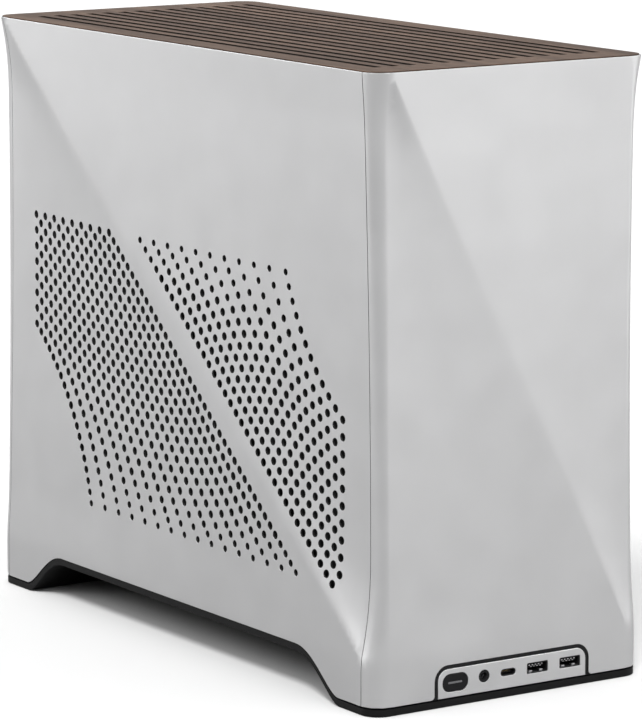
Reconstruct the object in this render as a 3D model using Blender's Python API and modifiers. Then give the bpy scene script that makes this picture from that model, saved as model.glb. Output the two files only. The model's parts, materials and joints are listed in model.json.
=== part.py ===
"""A small desktop computer in a tall folded-aluminium case with a slatted walnut top.

Metres, +Z up. The front faces -Y and +X is to the right as seen from the front.
The origin is the middle of the footprint, on the surface that the computer stands on.
"""

import math

import bmesh
import bpy
from mathutils import Matrix, Vector

# Case
WIDTH = 0.165
LENGTH = 0.366
HEIGHT = 0.314
CORNER = 0.011
SKIN = 0.0012
GAP = 0.0004
SEAM_Y = LENGTH / 2 - 0.010

# Creased faces: each face leans in from one straight diagonal ridge
RIM_Z = HEIGHT - 0.0006
SKIRT_Z = 0.027
SIDE_PINCH = 0.0056
FRONT_PINCH = 0.0030
REAR_PINCH = 0.0012
RIM_FLARE = 0.145
SKIRT_FLARE = 0.18
STATIONS = (0.0, 0.035, 0.08, 0.14, 0.25, 0.4, 0.6, 0.75, 0.84, 0.9, 0.95, 1.0)

# Base with an arch through it from side to side
SKIN_BOTTOM = 0.0047
BASE_BOTTOM = 0.0008
BASE_THICK = 0.0036
BASE_INSET = 0.001
ARCH_TOP = 0.0246
ARCH_FLAT = 0.115
ARCH_FOOT = 0.1525

# Slatted top
SLOT_COUNT = 14
SLOT_PITCH = 0.01016
SLOT_WIDTH = 0.0041
SLOT_LENGTH = 0.325
TOP_THICK = 0.008
TOP_SINK = 0.0006
TOP_EDGE = 0.0022
TOP_LIP = 0.0024
RABBET = 0.006

# Port plate on the front, low down
PLATE_X = (-0.0436, 0.0464)
PLATE_TOP = 0.0191
BEZEL_WIDTH = 0.0017
PORT_Z = 0.0127
BUTTON_X = -0.03325
BUTTON_SIZE = (0.0151, 0.0092)
JACK_X = -0.0159
JACK_RADIUS = 0.00315
USB_C_X = -0.0013
USB_C_SIZE = (0.0090, 0.0035)
USB_A_X = (0.01665, 0.0367)
USB_A_SIZE = (0.0127, 0.0054)
SHELL_WALL = 0.0005

# Inner frame
BULKHEAD_Y = -0.1715
REAR_PLATE_Y = 0.1650
SPINE_X = -0.0170
SPINE_BOTTOM = 0.070
FRAME_HALF = 0.068
FRAME_BOTTOM = 0.026
FRAME_TOP = 0.297
SHEET = 0.0012

# Power supply: half sizes of its lead hole, and its parts as (along, up, size)
LEAD_HOLE = (0.006, 0.006, 0.010)
PSU_BLOCKS = ((0.030, 0.030, 0.026), (0.070, 0.040, 0.020), (0.034, 0.085, 0.022), (0.072, 0.090, 0.024))

# Boards and coolers
FAN_SIZE = 0.120
FAN_DEPTH = 0.025
BOARD_X = SPINE_X + SHEET + 0.0065
BOARD = 0.170
BOARD_Z = 0.105
BOARD_REAR = 0.1635
CARD_FRONT = -0.110
CARD_Z = (0.078, 0.196)
PCB = 0.0016
FIN = 0.0012
CLEAR = 0.0003

parts = bpy.data.collections.new("mini_pc")
cutters = bpy.data.collections.new("cutters")


def reset():
    for old in list(bpy.data.objects):
        bpy.data.objects.remove(old, do_unlink=True)
    bpy.context.scene.collection.children.link(parts)
    bpy.context.scene.collection.children.link(cutters)


def material(name, color, roughness, metallic):
    made = bpy.data.materials.new(name)
    made.use_nodes = True
    shader = made.node_tree.nodes["Principled BSDF"]
    shader.inputs["Base Color"].default_value = (*color, 1.0)
    shader.inputs["Roughness"].default_value = roughness
    shader.inputs["Metallic"].default_value = metallic
    made.diffuse_color = (*color, 1.0)
    return made


def aluminium(name):
    return material(name, (0.62, 0.62, 0.63), 0.42, 1.0)


def walnut(name):
    return material(name, (0.16, 0.10, 0.07), 0.5, 0.0)


def black_steel(name):
    return material(name, (0.03, 0.03, 0.032), 0.5, 0.6)


def black_plastic(name):
    return material(name, (0.02, 0.02, 0.022), 0.45, 0.0)


def circuit_board(name):
    return material(name, (0.02, 0.03, 0.028), 0.4, 0.0)


def rubber(name):
    return material(name, (0.03, 0.03, 0.03), 0.8, 0.0)


def light_white(name):
    return material(name, (0.7, 0.72, 0.75), 0.3, 0.0)


def socket_steel(name):
    return material(name, (0.25, 0.25, 0.26), 0.35, 1.0)


def shield_steel(name):
    return material(name, (0.5, 0.5, 0.51), 0.4, 1.0)


def dark_screw(name):
    return material(name, (0.06, 0.06, 0.06), 0.4, 0.9)


def memory_spreader(name):
    return material(name, (0.1, 0.1, 0.11), 0.4, 0.7)


def from_bmesh(name, bm, paint=None):
    """An object in the parts collection if it has a material, or a cutter if it has none."""
    bmesh.ops.recalc_face_normals(bm, faces=bm.faces)
    mesh = bpy.data.meshes.new(name)
    bm.to_mesh(mesh)
    bm.free()
    made = bpy.data.objects.new(name, mesh)
    if paint:
        mesh.materials.append(paint(name))
        parts.objects.link(made)
    else:
        made.hide_render = True
        made.display_type = "WIRE"
        cutters.objects.link(made)
    return made


def box(name, low, high, paint=None):
    bm = bmesh.new()
    size = [b - a for a, b in zip(low, high)]
    centre = [(a + b) / 2 for a, b in zip(low, high)]
    bmesh.ops.create_cube(bm, size=1.0, matrix=Matrix.Translation(centre) @ Matrix.Diagonal((*size, 1.0)))
    return from_bmesh(name, bm, paint)


def turn_to(axis):
    return Vector((0, 0, 1)).rotation_difference(Vector(axis)).to_matrix().to_4x4()


def cylinder(name, centre, axis, radius, depth, paint=None, segments=32):
    bm = bmesh.new()
    matrix = Matrix.Translation(centre) @ turn_to(axis)
    bmesh.ops.create_cone(
        bm, cap_ends=True, segments=segments, radius1=radius, radius2=radius, depth=depth, matrix=matrix
    )
    return from_bmesh(name, bm, paint)


def rounded(low, high, radius, steps=4):
    """The outline of a rectangle with round corners, anticlockwise from the lower right corner."""
    points = []
    across, along = low[0] + high[0], low[1] + high[1]
    corners = ((high[0], low[1], -90), (high[0], high[1], 0), (low[0], high[1], 90), (low[0], low[1], 180))
    for x, y, start in corners:
        middle = (x + math.copysign(radius, across - 2 * x), y + math.copysign(radius, along - 2 * y))
        for step in range(steps + 1):
            angle = math.radians(start + 90 * step / steps)
            points.append((middle[0] + radius * math.cos(angle), middle[1] + radius * math.sin(angle)))
    return points


def prism(name, outline, axis, low, high, paint=None):
    """A flat outline pushed along an axis. The outline is in the other two axes, in X, Y, Z order."""
    place = {"x": lambda a, b: (low, a, b), "y": lambda a, b: (a, low, b), "z": lambda a, b: (a, b, low)}[axis]
    push = {"x": (high - low, 0, 0), "y": (0, high - low, 0), "z": (0, 0, high - low)}[axis]
    bm = bmesh.new()
    face = bm.faces.new([bm.verts.new(place(a, b)) for a, b in outline])
    pushed = bmesh.ops.extrude_face_region(bm, geom=[face])["geom"]
    bmesh.ops.translate(bm, vec=push, verts=[v for v in pushed if isinstance(v, bmesh.types.BMVert)])
    return from_bmesh(name, bm, paint)


def combine(target, tools, operation):
    """Cuts the tools from the target, or joins them to it."""
    for tool in tools:
        modifier = target.modifiers.new(tool.name, "BOOLEAN")
        modifier.operation = operation
        modifier.solver = "EXACT"
        modifier.object = tool
    return target


def cut(target, *tools):
    return combine(target, tools, "DIFFERENCE")


def join(target, *tools):
    return combine(target, tools, "UNION")


# Case skins


def pinch(share, flare):
    """How far a face's free edge leans in: least at the ridge's start, full near the far end, and nothing at it."""
    rise = 0.15 + 0.85 * math.sin(min(1.0, share / 0.85) * math.pi / 2)
    start = 1 - (1 - min(1.0, share / 0.1)) ** 2
    end = 1 - max(0.0, (share - 1 + flare) / flare) ** 2.2
    return rise * start * end


def lean(across, down, depth):
    """Inset of a face at a share across it, left to right as seen from outside, and a share down it."""
    if across >= down:
        spread = (across - down) / (1 - down) if down < 1 else 0.0
        return depth * pinch(down, SKIRT_FLARE) * spread
    return depth * pinch(1 - down, RIM_FLARE) * (down - across) / down


def share_down(z):
    return min(1.0, max(0.0, (RIM_Z - z) / (RIM_Z - SKIRT_Z)))


def heights():
    """Levels of the skin's rows: the upright rim, the creased part down to the skirt line, and the lower edge."""
    return [HEIGHT] + [RIM_Z - s * (RIM_Z - SKIRT_Z) for s in STATIONS] + [SKIN_BOTTOM]


def skin_grid(name, rows, paint):
    """A thin sheet through rows of points, each cell split along the falling diagonal that the ridge follows."""
    bm = bmesh.new()
    grid = [[bm.verts.new(point) for point in row] for row in rows]
    for upper, lower in zip(grid, grid[1:]):
        for k in range(len(upper) - 1):
            bm.faces.new((upper[k], lower[k], lower[k + 1]))
            bm.faces.new((upper[k], lower[k + 1], upper[k + 1]))
    made = from_bmesh(name, bm, paint)
    solid = made.modifiers.new("sheet", "SOLIDIFY")
    solid.thickness = SKIN
    solid.offset = -1.0
    solid.use_even_offset = True
    return made


def side_row(z):
    """Points of the left side face at a height, from rear to front."""
    end = SEAM_Y - GAP / 2
    reach = LENGTH / 2 - CORNER
    row = []
    for share in STATIONS:
        y = end - share * 2 * end
        across = min(1.0, max(0.0, (reach - y) / (2 * reach)))
        row.append(Vector((-WIDTH / 2 + lean(across, share_down(z), SIDE_PINCH), y, z)))
    return row


def wrap_row(z, depth):
    """Points of the front face at a height, from the left seam round both corners to the right seam."""
    down = share_down(z)
    flat = WIDTH / 2 - CORNER
    seam = SEAM_Y + GAP / 2 - (LENGTH / 2 - CORNER)
    left_in = (lean(1.0, down, SIDE_PINCH), lean(0.0, down, depth))
    right_in = (lean(0.0, down, SIDE_PINCH), lean(1.0, down, depth))
    row = []
    for (side_in, face_in), sign, order in ((left_in, -1, 1), (right_in, 1, -1)):
        wide, deep = CORNER - side_in, CORNER - face_in
        start = math.asin(seam / deep)
        turns = [start + (math.pi / 2 - start) * step / 4 for step in range(5)][::order]
        arc = [
            Vector((sign * (flat + wide * math.cos(a)), -(LENGTH / 2 - CORNER) - deep * math.sin(a), z))
            for a in turns
        ]
        if sign < 0:
            row += arc[:-1]
            row += [Vector((-flat + 2 * flat * s, -LENGTH / 2 + lean(s, down, depth), z)) for s in STATIONS]
        else:
            row += arc[1:]
    return row


def arch_line(top, foot):
    """Outline of the arch, rear to front in (y, z): level in the middle and eased down to the feet at both ends."""
    steps = 12
    points = []
    for step in range(steps + 1):
        share = step / steps
        rise = math.sin(share ** 0.78 * math.pi / 2) ** 2
        points.append((ARCH_FOOT - share * (ARCH_FOOT - ARCH_FLAT), foot + (top - foot) * rise))
    return points + [(-y, z) for y, z in reversed(points)]


def arch_cutter(name, top, foot):
    line = arch_line(top, foot)
    below = [(-ARCH_FOOT, -0.01), (ARCH_FOOT, -0.01)]
    return prism(name, line + below, "x", -WIDTH, WIDTH)


def side_panels():
    """Two pull-off side panels, the right one being the left one turned half round."""
    rows = [side_row(z) for z in heights()]
    left = skin_grid("side_panel_left", rows, aluminium)
    right = skin_grid("side_panel_right", [[Vector((-p.x, -p.y, p.z)) for p in row] for row in rows], aluminium)
    for panel in (left, right):
        sign = -1 if panel is left else 1
        cut(panel, arch_cutter("arch_" + panel.name, ARCH_TOP, SKIN_BOTTOM - 0.0002))
        studs = []
        for y in (-0.160, 0.158):
            for z in (0.045, 0.285):
                name = f"stud_{panel.name}_{y}_{z}"
                studs.append(cylinder(name, (sign * 0.0775, y, z), (1, 0, 0), 0.002, 0.0085, None, 12))
        for stud in studs:
            trim_to_skin(stud, sign)
        join(panel, *studs)


def trim_to_skin(stud, sign):
    """Pulls a stud's outer end back until it stops inside the skin behind it."""
    ends = [v for v in stud.data.vertices if sign * v.co.x > 0.0775]
    y = sum(v.co.y for v in ends) / len(ends)
    z = sum(v.co.z for v in ends) / len(ends)
    reach = LENGTH / 2 - CORNER
    across = min(1.0, max(0.0, (reach + sign * y) / (2 * reach)))
    skin = WIDTH / 2 - lean(across, share_down(z), SIDE_PINCH)
    for vertex in ends:
        vertex.co.x = sign * (skin - SKIN * 0.6)


def front_panel():
    """Pull-off front panel that wraps both front corners, notched at the bottom for the port plate."""
    panel = skin_grid("front_panel", [wrap_row(z, FRONT_PINCH) for z in heights()], aluminium)
    edge = BEZEL_WIDTH + GAP
    low = (PLATE_X[0] - edge, -0.02)
    high = (PLATE_X[1] + edge, PLATE_TOP + edge)
    cut(panel, prism("port_notch", rounded(low, high, 0.0075), "y", -0.2, -0.16))


def rear_panel():
    """Rear frame of the case: the same wrap as the front, with a large window in it."""
    rows = [[Vector((-p.x, -p.y, p.z)) for p in wrap_row(z, REAR_PINCH)] for z in heights()]
    panel = skin_grid("rear_panel", rows, aluminium)
    cut(panel, prism("rear_window", rounded((-0.066, 0.036), (0.066, 0.292), 0.006), "y", 0.16, 0.2))


# Base


def base_tray():
    """Moulded base: a plate that follows the arch, with two fan openings and a pocket for each foot pad."""
    half = (WIDTH / 2 - BASE_INSET, LENGTH / 2 - BASE_INSET)
    top = SKIN_BOTTOM - CLEAR
    upper = arch_line(ARCH_TOP - CLEAR, top)
    lower = arch_line(ARCH_TOP - CLEAR - BASE_THICK, BASE_BOTTOM)
    side = [(half[1], BASE_BOTTOM), (half[1], top), *upper, (-half[1], top), (-half[1], BASE_BOTTOM), *lower[::-1]]
    tray = prism("base_tray", side, "x", -half[0], half[0], black_plastic)
    outline = rounded((-half[0], -half[1]), half, CORNER - BASE_INSET, 6)
    combine(tray, [prism("base_outline", outline, "z", -0.01, 0.05)], "INTERSECT")
    for number, y in enumerate(fan_places()):
        cut(tray, cylinder(f"intake_{number}", (0, y, 0.02), (0, 0, 1), FAN_SIZE / 2 - 0.004, 0.04, None, 40))
    for sign in (-1, 1):
        for side_sign in (-1, 1):
            name = f"pocket_{sign}_{side_sign}"
            cut(tray, foot_outline(name, sign, side_sign, 0.0004, -0.001, BASE_BOTTOM + 0.0013))


def fan_places():
    reach = FAN_SIZE / 2 + 0.0006
    return (-reach, reach)


def foot_outline(name, along, across, grow, low, high, paint=None):
    """A long pad under one corner of the base."""
    centre = (across * 0.052, along * 0.1665)
    size = (0.020 + grow, 0.0085 + grow)
    start = (centre[0] - size[0], centre[1] - size[1])
    stop = (centre[0] + size[0], centre[1] + size[1])
    return prism(name, rounded(start, stop, 0.004 + grow, 3), "z", low, high, paint)


def foot_pads():
    for along, row in ((-1, "front"), (1, "rear")):
        for across, side in ((-1, "left"), (1, "right")):
            foot_outline(f"foot_pad_{row}_{side}", along, across, 0.0, 0.0, BASE_BOTTOM + 0.0010, rubber)


def dust_filter():
    """Fine mesh in a flat frame below the fan openings. It pulls out to the left, by a grip under the arch."""
    top = ARCH_TOP - CLEAR - BASE_THICK - 0.0009
    low, high = (-0.068, -0.1145), (0.068, 0.1145)
    grip = box("filter_grip", (-0.0705, -0.014, top - 0.0030), (-0.066, 0.014, top))
    frame = prism("dust_filter", rounded(low, high, 0.005, 3), "z", top - 0.0030, top, black_plastic)
    join(frame, grip)


# Slatted top


def top_panel():
    """Walnut board with a rabbet round its edge, and long slots that leave the slats standing."""
    top = HEIGHT - TOP_SINK
    edge = (WIDTH / 2 - TOP_EDGE, LENGTH / 2 - TOP_EDGE)
    core = (edge[0] - RABBET, edge[1] - RABBET)
    outline = rounded((-edge[0], -edge[1]), edge, CORNER - TOP_EDGE, 5)
    board = prism("top_panel", outline, "z", top - TOP_LIP, top, walnut)
    lower = prism("top_core", rounded((-core[0], -core[1]), core, 0.004, 2), "z", top - TOP_THICK, top - TOP_LIP / 2)
    join(board, lower)
    slots = []
    for number in range(SLOT_COUNT):
        x = (number - (SLOT_COUNT - 1) / 2) * SLOT_PITCH
        start = (x - SLOT_WIDTH / 2, -SLOT_LENGTH / 2)
        stop = (x + SLOT_WIDTH / 2, SLOT_LENGTH / 2)
        slots.append(prism(f"slot_{number}", rounded(start, stop, 0.0006, 1), "z", top - 0.02, top + 0.01))
    cut(board, *slots)


def top_carrier():
    """Fine steel mesh sheet that carries the slats. Its perforation is too fine to cut here."""
    high = HEIGHT - TOP_SINK - TOP_THICK - CLEAR
    low = (-0.0760, -0.173)
    prism("top_carrier", rounded(low, (-low[0], -low[1]), 0.007, 3), "z", high - SHEET, high, black_steel)


# Port plate


def port_outline(grow):
    low = (PLATE_X[0] - grow, SKIN_BOTTOM)
    high = (PLATE_X[1] + grow, PLATE_TOP + grow)
    radius = 0.0058 + grow
    points = [(high[0], low[1])]
    for x, start in ((high[0] - radius, 0), (low[0] + radius, 90)):
        for step in range(6):
            angle = math.radians(start + 90 * step / 5)
            points.append((x + radius * math.cos(angle), high[1] - radius + radius * math.sin(angle)))
    return points + [(low[0], low[1])]


def port_plate():
    """Aluminium plate with the ports' holes, inside a black outline that stands on the base."""
    face = -LENGTH / 2
    plate = prism("io_plate", port_outline(0.0), "y", face, face + 0.0016, aluminium)
    reach = (face - 0.002, face + 0.004)
    half = (BUTTON_SIZE[0] / 2 + CLEAR, BUTTON_SIZE[1] / 2 + CLEAR)
    button = rounded((BUTTON_X - half[0], PORT_Z - half[1]), (BUTTON_X + half[0], PORT_Z + half[1]), 0.0043)
    holes = [
        prism("button_hole", button, "y", *reach),
        cylinder("jack_hole", (JACK_X, face, PORT_Z), (0, 1, 0), JACK_RADIUS + CLEAR, 0.01, None, 24),
        socket_outline("usb_c_hole", USB_C_X, USB_C_SIZE, CLEAR, 0.0016, *reach),
    ]
    for number, x in enumerate(USB_A_X):
        holes.append(socket_outline(f"usb_a_hole_{number}", x, USB_A_SIZE, CLEAR, 0.0006, *reach))
    cut(plate, *holes)
    bezel = prism("io_bezel", port_outline(BEZEL_WIDTH), "y", face, face + 0.0030, black_plastic)
    inner = port_outline(GAP)
    inner[0] = (inner[0][0], 0.0)
    inner[-1] = (inner[-1][0], 0.0)
    cut(bezel, prism("plate_seat", inner, "y", face - 0.002, face + 0.006))


def socket_outline(name, x, size, grow, radius, low, high, paint=None):
    start = (x - size[0] / 2 - grow, PORT_Z - size[1] / 2 - grow)
    stop = (x + size[0] / 2 + grow, PORT_Z + size[1] / 2 + grow)
    return prism(name, rounded(start, stop, radius + grow, 3), "y", low, high, paint)


def power_button():
    """Push button in line with the plate's face, with a light dash set in it."""
    face = -LENGTH / 2
    half = (BUTTON_SIZE[0] / 2, BUTTON_SIZE[1] / 2)
    outline = rounded((BUTTON_X - half[0], PORT_Z - half[1]), (BUTTON_X + half[0], PORT_Z + half[1]), 0.004)
    button = prism("power_button", outline, "y", face, face + 0.0060, black_plastic)
    start, stop = (BUTTON_X - 0.0042, PORT_Z - 0.0005), (BUTTON_X + 0.0042, PORT_Z + 0.0005)
    seat = (start[0] - CLEAR, start[1] - CLEAR), (stop[0] + CLEAR, stop[1] + CLEAR)
    cut(button, prism("light_seat", rounded(*seat, 0.0007, 2), "y", face - 0.002, face + 0.0008))
    light = prism("power_light", rounded(start, stop, 0.00045, 2), "y", face, face + 0.0005, light_white)
    for made in (button, light):
        set_origin(made, (BUTTON_X, face, PORT_Z))


def set_origin(made, point):
    """Moves an object's origin without moving its shape."""
    made.data.transform(Matrix.Translation(-Vector(point)))
    made.location = point


def sockets():
    """Sleeves and tongues of the sockets, in line with the plate's face."""
    face = -LENGTH / 2
    for number, x in enumerate(USB_A_X, 1):
        socket(f"usb_a_shell_{number}", f"usb_a_tongue_{number}", x, USB_A_SIZE, 0.0006, 0.0135, 0.0008)
    socket("usb_c_shell", "usb_c_tongue", USB_C_X, USB_C_SIZE, 0.0016, 0.0070, 0.0)
    middle = (JACK_X, face + 0.0065, PORT_Z)
    sleeve = cylinder("audio_jack", middle, (0, 1, 0), JACK_RADIUS, 0.0125, black_plastic, 24)
    cut(sleeve, cylinder("jack_bore", (JACK_X, face + 0.004, PORT_Z), (0, 1, 0), 0.00176, 0.0155, None, 16))
    board = (PORT_Z - JACK_RADIUS - 0.0004 - PCB, PORT_Z - JACK_RADIUS - 0.0004)
    low = (PLATE_X[0] + 0.001, face + 0.0080, board[0])
    box("front_io_board", low, (PLATE_X[1] - 0.001, face + 0.0240, board[1]), circuit_board)


def socket(shell_name, tongue_name, x, size, radius, depth, lift):
    """A steel sleeve, and the tongue in it at a lift above its middle."""
    face = -LENGTH / 2
    shell = socket_outline(shell_name, x, size, 0.0, radius, face + 0.0003, face + 0.0003 + depth, socket_steel)
    bore = socket_outline("bore_" + shell_name, x, size, -SHELL_WALL, radius, face - 0.002, face + depth - 0.0008)
    cut(shell, bore)
    half = size[0] / 2 - SHELL_WALL - 0.0009
    top = PORT_Z + lift + 0.0007
    low = (x - half, face + 0.0018, PORT_Z + lift - 0.0007)
    box(tongue_name, low, (x + half, face + depth - 0.0011, top), black_plastic)


# Inner frame


def frame_sheets():
    """Front bulkhead, rear plate, spine and top rails: folded sheets that carry the parts inside."""
    start, stop = (-FRAME_HALF, BULKHEAD_Y, FRAME_BOTTOM), (FRAME_HALF, BULKHEAD_Y + SHEET, FRAME_TOP)
    bulkhead = box("front_bulkhead", start, stop, black_steel)
    flanges = []
    for sign in (-1, 1):
        x = sorted((sign * FRAME_HALF, sign * (FRAME_HALF - SHEET)))
        low = (x[0], BULKHEAD_Y + SHEET / 2, FRAME_BOTTOM)
        flanges.append(box(f"bulkhead_flange_{sign}", low, (x[1], -0.160, FRAME_TOP)))
    join(bulkhead, *flanges)
    spine = (SPINE_X, SPINE_X + SHEET)
    low = (spine[0], BULKHEAD_Y + SHEET + CLEAR, SPINE_BOTTOM)
    plate = box("spine_plate", low, (spine[1], REAR_PLATE_Y - CLEAR, FRAME_TOP), black_steel)
    standoffs = []
    for y in (BOARD_REAR - 0.010, BOARD_REAR - 0.010 - 0.155):
        for z in (BOARD_Z + 0.0064, BOARD_Z + BOARD - 0.0088):
            name = f"standoff_{y:.3f}_{z:.3f}"
            standoffs.append(cylinder(name, (spine[1] + 0.0030, y, z), (1, 0, 0), 0.003, 0.0065, None, 12))
    join(plate, *standoffs)
    for sign, side in ((-1, "left"), (1, "right")):
        x = sorted((sign * FRAME_HALF, sign * (FRAME_HALF - 0.010)))
        low = (x[0], BULKHEAD_Y, FRAME_TOP + CLEAR)
        box(f"top_rail_{side}", low, (x[1], REAR_PLATE_Y + SHEET, FRAME_TOP + CLEAR + SHEET), black_steel)


def rear_plate():
    """Rear sheet with openings for the board's shield, the card's bracket and the power inlet."""
    start, stop = (-FRAME_HALF, REAR_PLATE_Y, FRAME_BOTTOM), (FRAME_HALF, REAR_PLATE_Y + SHEET, FRAME_TOP)
    plate = box("rear_plate", start, stop, black_steel)
    reach = (REAR_PLATE_Y - 0.01, REAR_PLATE_Y + 0.01)
    shield = shield_outline(CLEAR)
    bracket = bracket_outline(CLEAR)
    inlet = ((0.028 - CLEAR, 0.052 - CLEAR), (0.056 + CLEAR, 0.072 + CLEAR))
    cut(plate, prism("shield_opening", rounded(*shield, 0.0004, 1), "y", *reach))
    cut(plate, prism("card_opening", rounded(*bracket, 0.0004, 1), "y", *reach))
    cut(plate, prism("inlet_opening", rounded(*inlet, 0.0004, 1), "y", *reach))
    flanges = []
    for sign in (-1, 1):
        x = sorted((sign * FRAME_HALF, sign * (FRAME_HALF - SHEET)))
        high = (x[1], REAR_PLATE_Y + SHEET / 2, FRAME_TOP)
        flanges.append(box(f"rear_flange_{sign}", (x[0], 0.160, FRAME_BOTTOM), high))
    join(plate, *flanges)


def shield_outline(grow):
    """Opening for the board's connectors, in (x, z)."""
    return (BOARD_X - grow, BOARD_Z + 0.006 - grow), (BOARD_X + 0.0445 + grow, BOARD_Z + 0.164 + grow)


def bracket_outline(grow):
    """Opening for the graphics card's bracket, in (x, z)."""
    return (-0.0650 - grow, CARD_Z[0] - 0.002 - grow), (-0.0255 + grow, CARD_Z[1] + grow)


# Fans


def rotor(name, centre, axis, radius, depth, blades):
    """A hub with pitched blades, centred on its own axis."""
    hub = cylinder(name, (0, 0, 0), (0, 0, 1), radius * 0.36, depth, black_plastic, 24)
    bm = bmesh.new()
    reach = radius * 0.68
    pitched = Matrix.Rotation(math.radians(38), 4, "X") @ Matrix.Diagonal((reach, radius * 0.42, 0.0012, 1.0))
    outward = Matrix.Translation((radius * 0.31 + reach / 2, 0, 0))
    for number in range(blades):
        spin = Matrix.Rotation(2 * math.pi * number / blades, 4, "Z")
        bmesh.ops.create_cube(bm, size=1.0, matrix=spin @ outward @ pitched)
    swept = from_bmesh("blades_" + name, bm)
    trim = cylinder("sweep_" + name, (0, 0, 0), (0, 0, 1), radius, depth * 0.92, None, 32)
    combine(swept, [trim], "INTERSECT")
    join(hub, swept)
    for made in (hub, swept, trim):
        made.matrix_world = Matrix.Translation(centre) @ turn_to(axis)
    return hub


def fan_frame(name, centre, axis, size, depth, strut_side):
    """A square frame with a round duct, and four struts that hold the motor's seat at one face."""
    outline = rounded((-size / 2, -size / 2), (size / 2, size / 2), size * 0.05, 2)
    frame = prism(name, outline, "z", -depth / 2, depth / 2, black_plastic)
    duct = cylinder("duct_" + name, (0, 0, 0), (0, 0, 1), size / 2 - 0.0025, depth * 2, None, 36)
    cut(frame, duct)
    at = strut_side * (depth / 2 - 0.00125)
    seat = cylinder("seat_" + name, (0, 0, at), (0, 0, 1), size * 0.18, 0.0025, None, 24)
    bars = []
    for turn in (45, 135):
        bm = bmesh.new()
        spin = Matrix.Rotation(math.radians(turn), 4, "Z") @ Matrix.Translation((0, 0, at))
        bmesh.ops.create_cube(bm, size=1.0, matrix=spin @ Matrix.Diagonal((size * 0.99, 0.004, 0.0023, 1.0)))
        bars.append(from_bmesh(f"bar_{turn}_{name}", bm))
    join(frame, seat, *bars)
    for made in (frame, duct, seat, *bars):
        made.matrix_world = Matrix.Translation(centre) @ turn_to(axis)
    return frame


def bottom_fans():
    """Two intake fans that stand on the base, blowing up."""
    for place, row in zip(fan_places(), ("front", "rear")):
        middle = (0, place, ARCH_TOP + FAN_DEPTH / 2)
        fan_frame(f"bottom_fan_frame_{row}", middle, (0, 0, 1), FAN_SIZE, FAN_DEPTH, 1)
        centre = (0, place, ARCH_TOP + 0.0105)
        rotor(f"bottom_fan_rotor_{row}", centre, (0, 0, 1), FAN_SIZE / 2 - 0.004, 0.019, 7)


# Power supply


def power_supply():
    """Compact power supply behind the front, its fan facing the right side panel."""
    low = Vector((SPINE_X + SHEET + CLEAR, -0.1660, 0.166))
    high = low + Vector((0.0635, 0.100, 0.125))
    case = box("psu_case", low, high, black_steel)
    wall = Vector((0.001, 0.001, 0.001))
    middle = (low + high) / 2
    mouth = Vector((high.x, middle.y, middle.z))
    cut(case, box("psu_hollow", low + wall, high - wall))
    cut(case, cylinder("psu_mouth", mouth, (1, 0, 0), 0.0425, 0.02, None, 36))
    lead = (high.x - 0.022, low.y + 0.022, low.z)
    hole = [c - r for c, r in zip(lead, LEAD_HOLE)], [c + r for c, r in zip(lead, LEAD_HOLE)]
    cut(case, box("psu_lead_hole", *hole))
    start, stop = low + Vector((0.002, 0.004, 0.004)), (low.x + 0.0036, high.y - 0.004, high.z - 0.004)
    board = box("psu_board", start, stop, circuit_board)
    blocks = []
    for number, (y, z, size) in enumerate(PSU_BLOCKS):
        start = (low.x + 0.003, low.y + y - size / 2, low.z + z - size / 2)
        blocks.append(box(f"psu_block_{number}", start, [c + size for c in start]))
    join(board, *blocks)
    rotor("psu_fan_rotor", (high.x - 0.0085, middle.y, middle.z), (1, 0, 0), 0.040, 0.011, 7)
    centre = (high.x + 0.0012, middle.y, middle.z)
    guard = cylinder("psu_fan_guard", centre, (1, 0, 0), 0.0455, 0.0012, black_steel, 36)
    for number, (outer, inner) in enumerate(((0.0435, 0.033), (0.031, 0.0205), (0.0185, 0.009))):
        cut(guard, guard_ring(f"guard_gap_{number}", centre, outer, inner))


def guard_ring(name, centre, outer, inner):
    """Ring-shaped gap of the fan guard, broken by four spokes."""
    ring = cylinder(name, centre, (1, 0, 0), outer, 0.02, None, 20)
    core = cylinder("core_" + name, centre, (1, 0, 0), inner, 0.03, None, 20)
    spokes = []
    for axis, half in (("y", (0.02, 0.06, 0.001)), ("z", (0.02, 0.001, 0.06))):
        low, high = [c - h for c, h in zip(centre, half)], [c + h for c, h in zip(centre, half)]
        spokes.append(box(f"spoke_{axis}_{name}", low, high))
    return cut(ring, core, *spokes)


def power_inlet():
    """Mains inlet in the rear plate, with three pins in its recess, and the lead from it to the power supply."""
    y = REAR_PLATE_Y
    body = box("power_inlet", (0.028, y - 0.018, 0.052), (0.056, y + SHEET + 0.001, 0.072), black_plastic)
    recess = prism("inlet_recess", rounded((0.0300, 0.0540), (0.0540, 0.0700), 0.003, 2), "y", y - 0.014, y + 0.01)
    cut(body, recess)
    pins = []
    for x, z in ((0.035, 0.0602), (0.042, 0.0642), (0.049, 0.0602)):
        pins.append(box(f"pin_{x}", (x - 0.001, y - 0.0150, z - 0.002), (x + 0.001, y - 0.001, z + 0.002)))
    join(body, *pins)
    level = [(0.042, y - 0.0186, 0.062), (0.042, 0.120, 0.062), (0.060, 0.090, 0.062), (0.060, -0.120, 0.062)]
    rising = [(0.040, -0.144, 0.090), (0.0262, -0.144, 0.120), (0.0262, -0.144, 0.1750)]
    tube("power_lead", level + rising, 0.0035, black_plastic)


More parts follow.
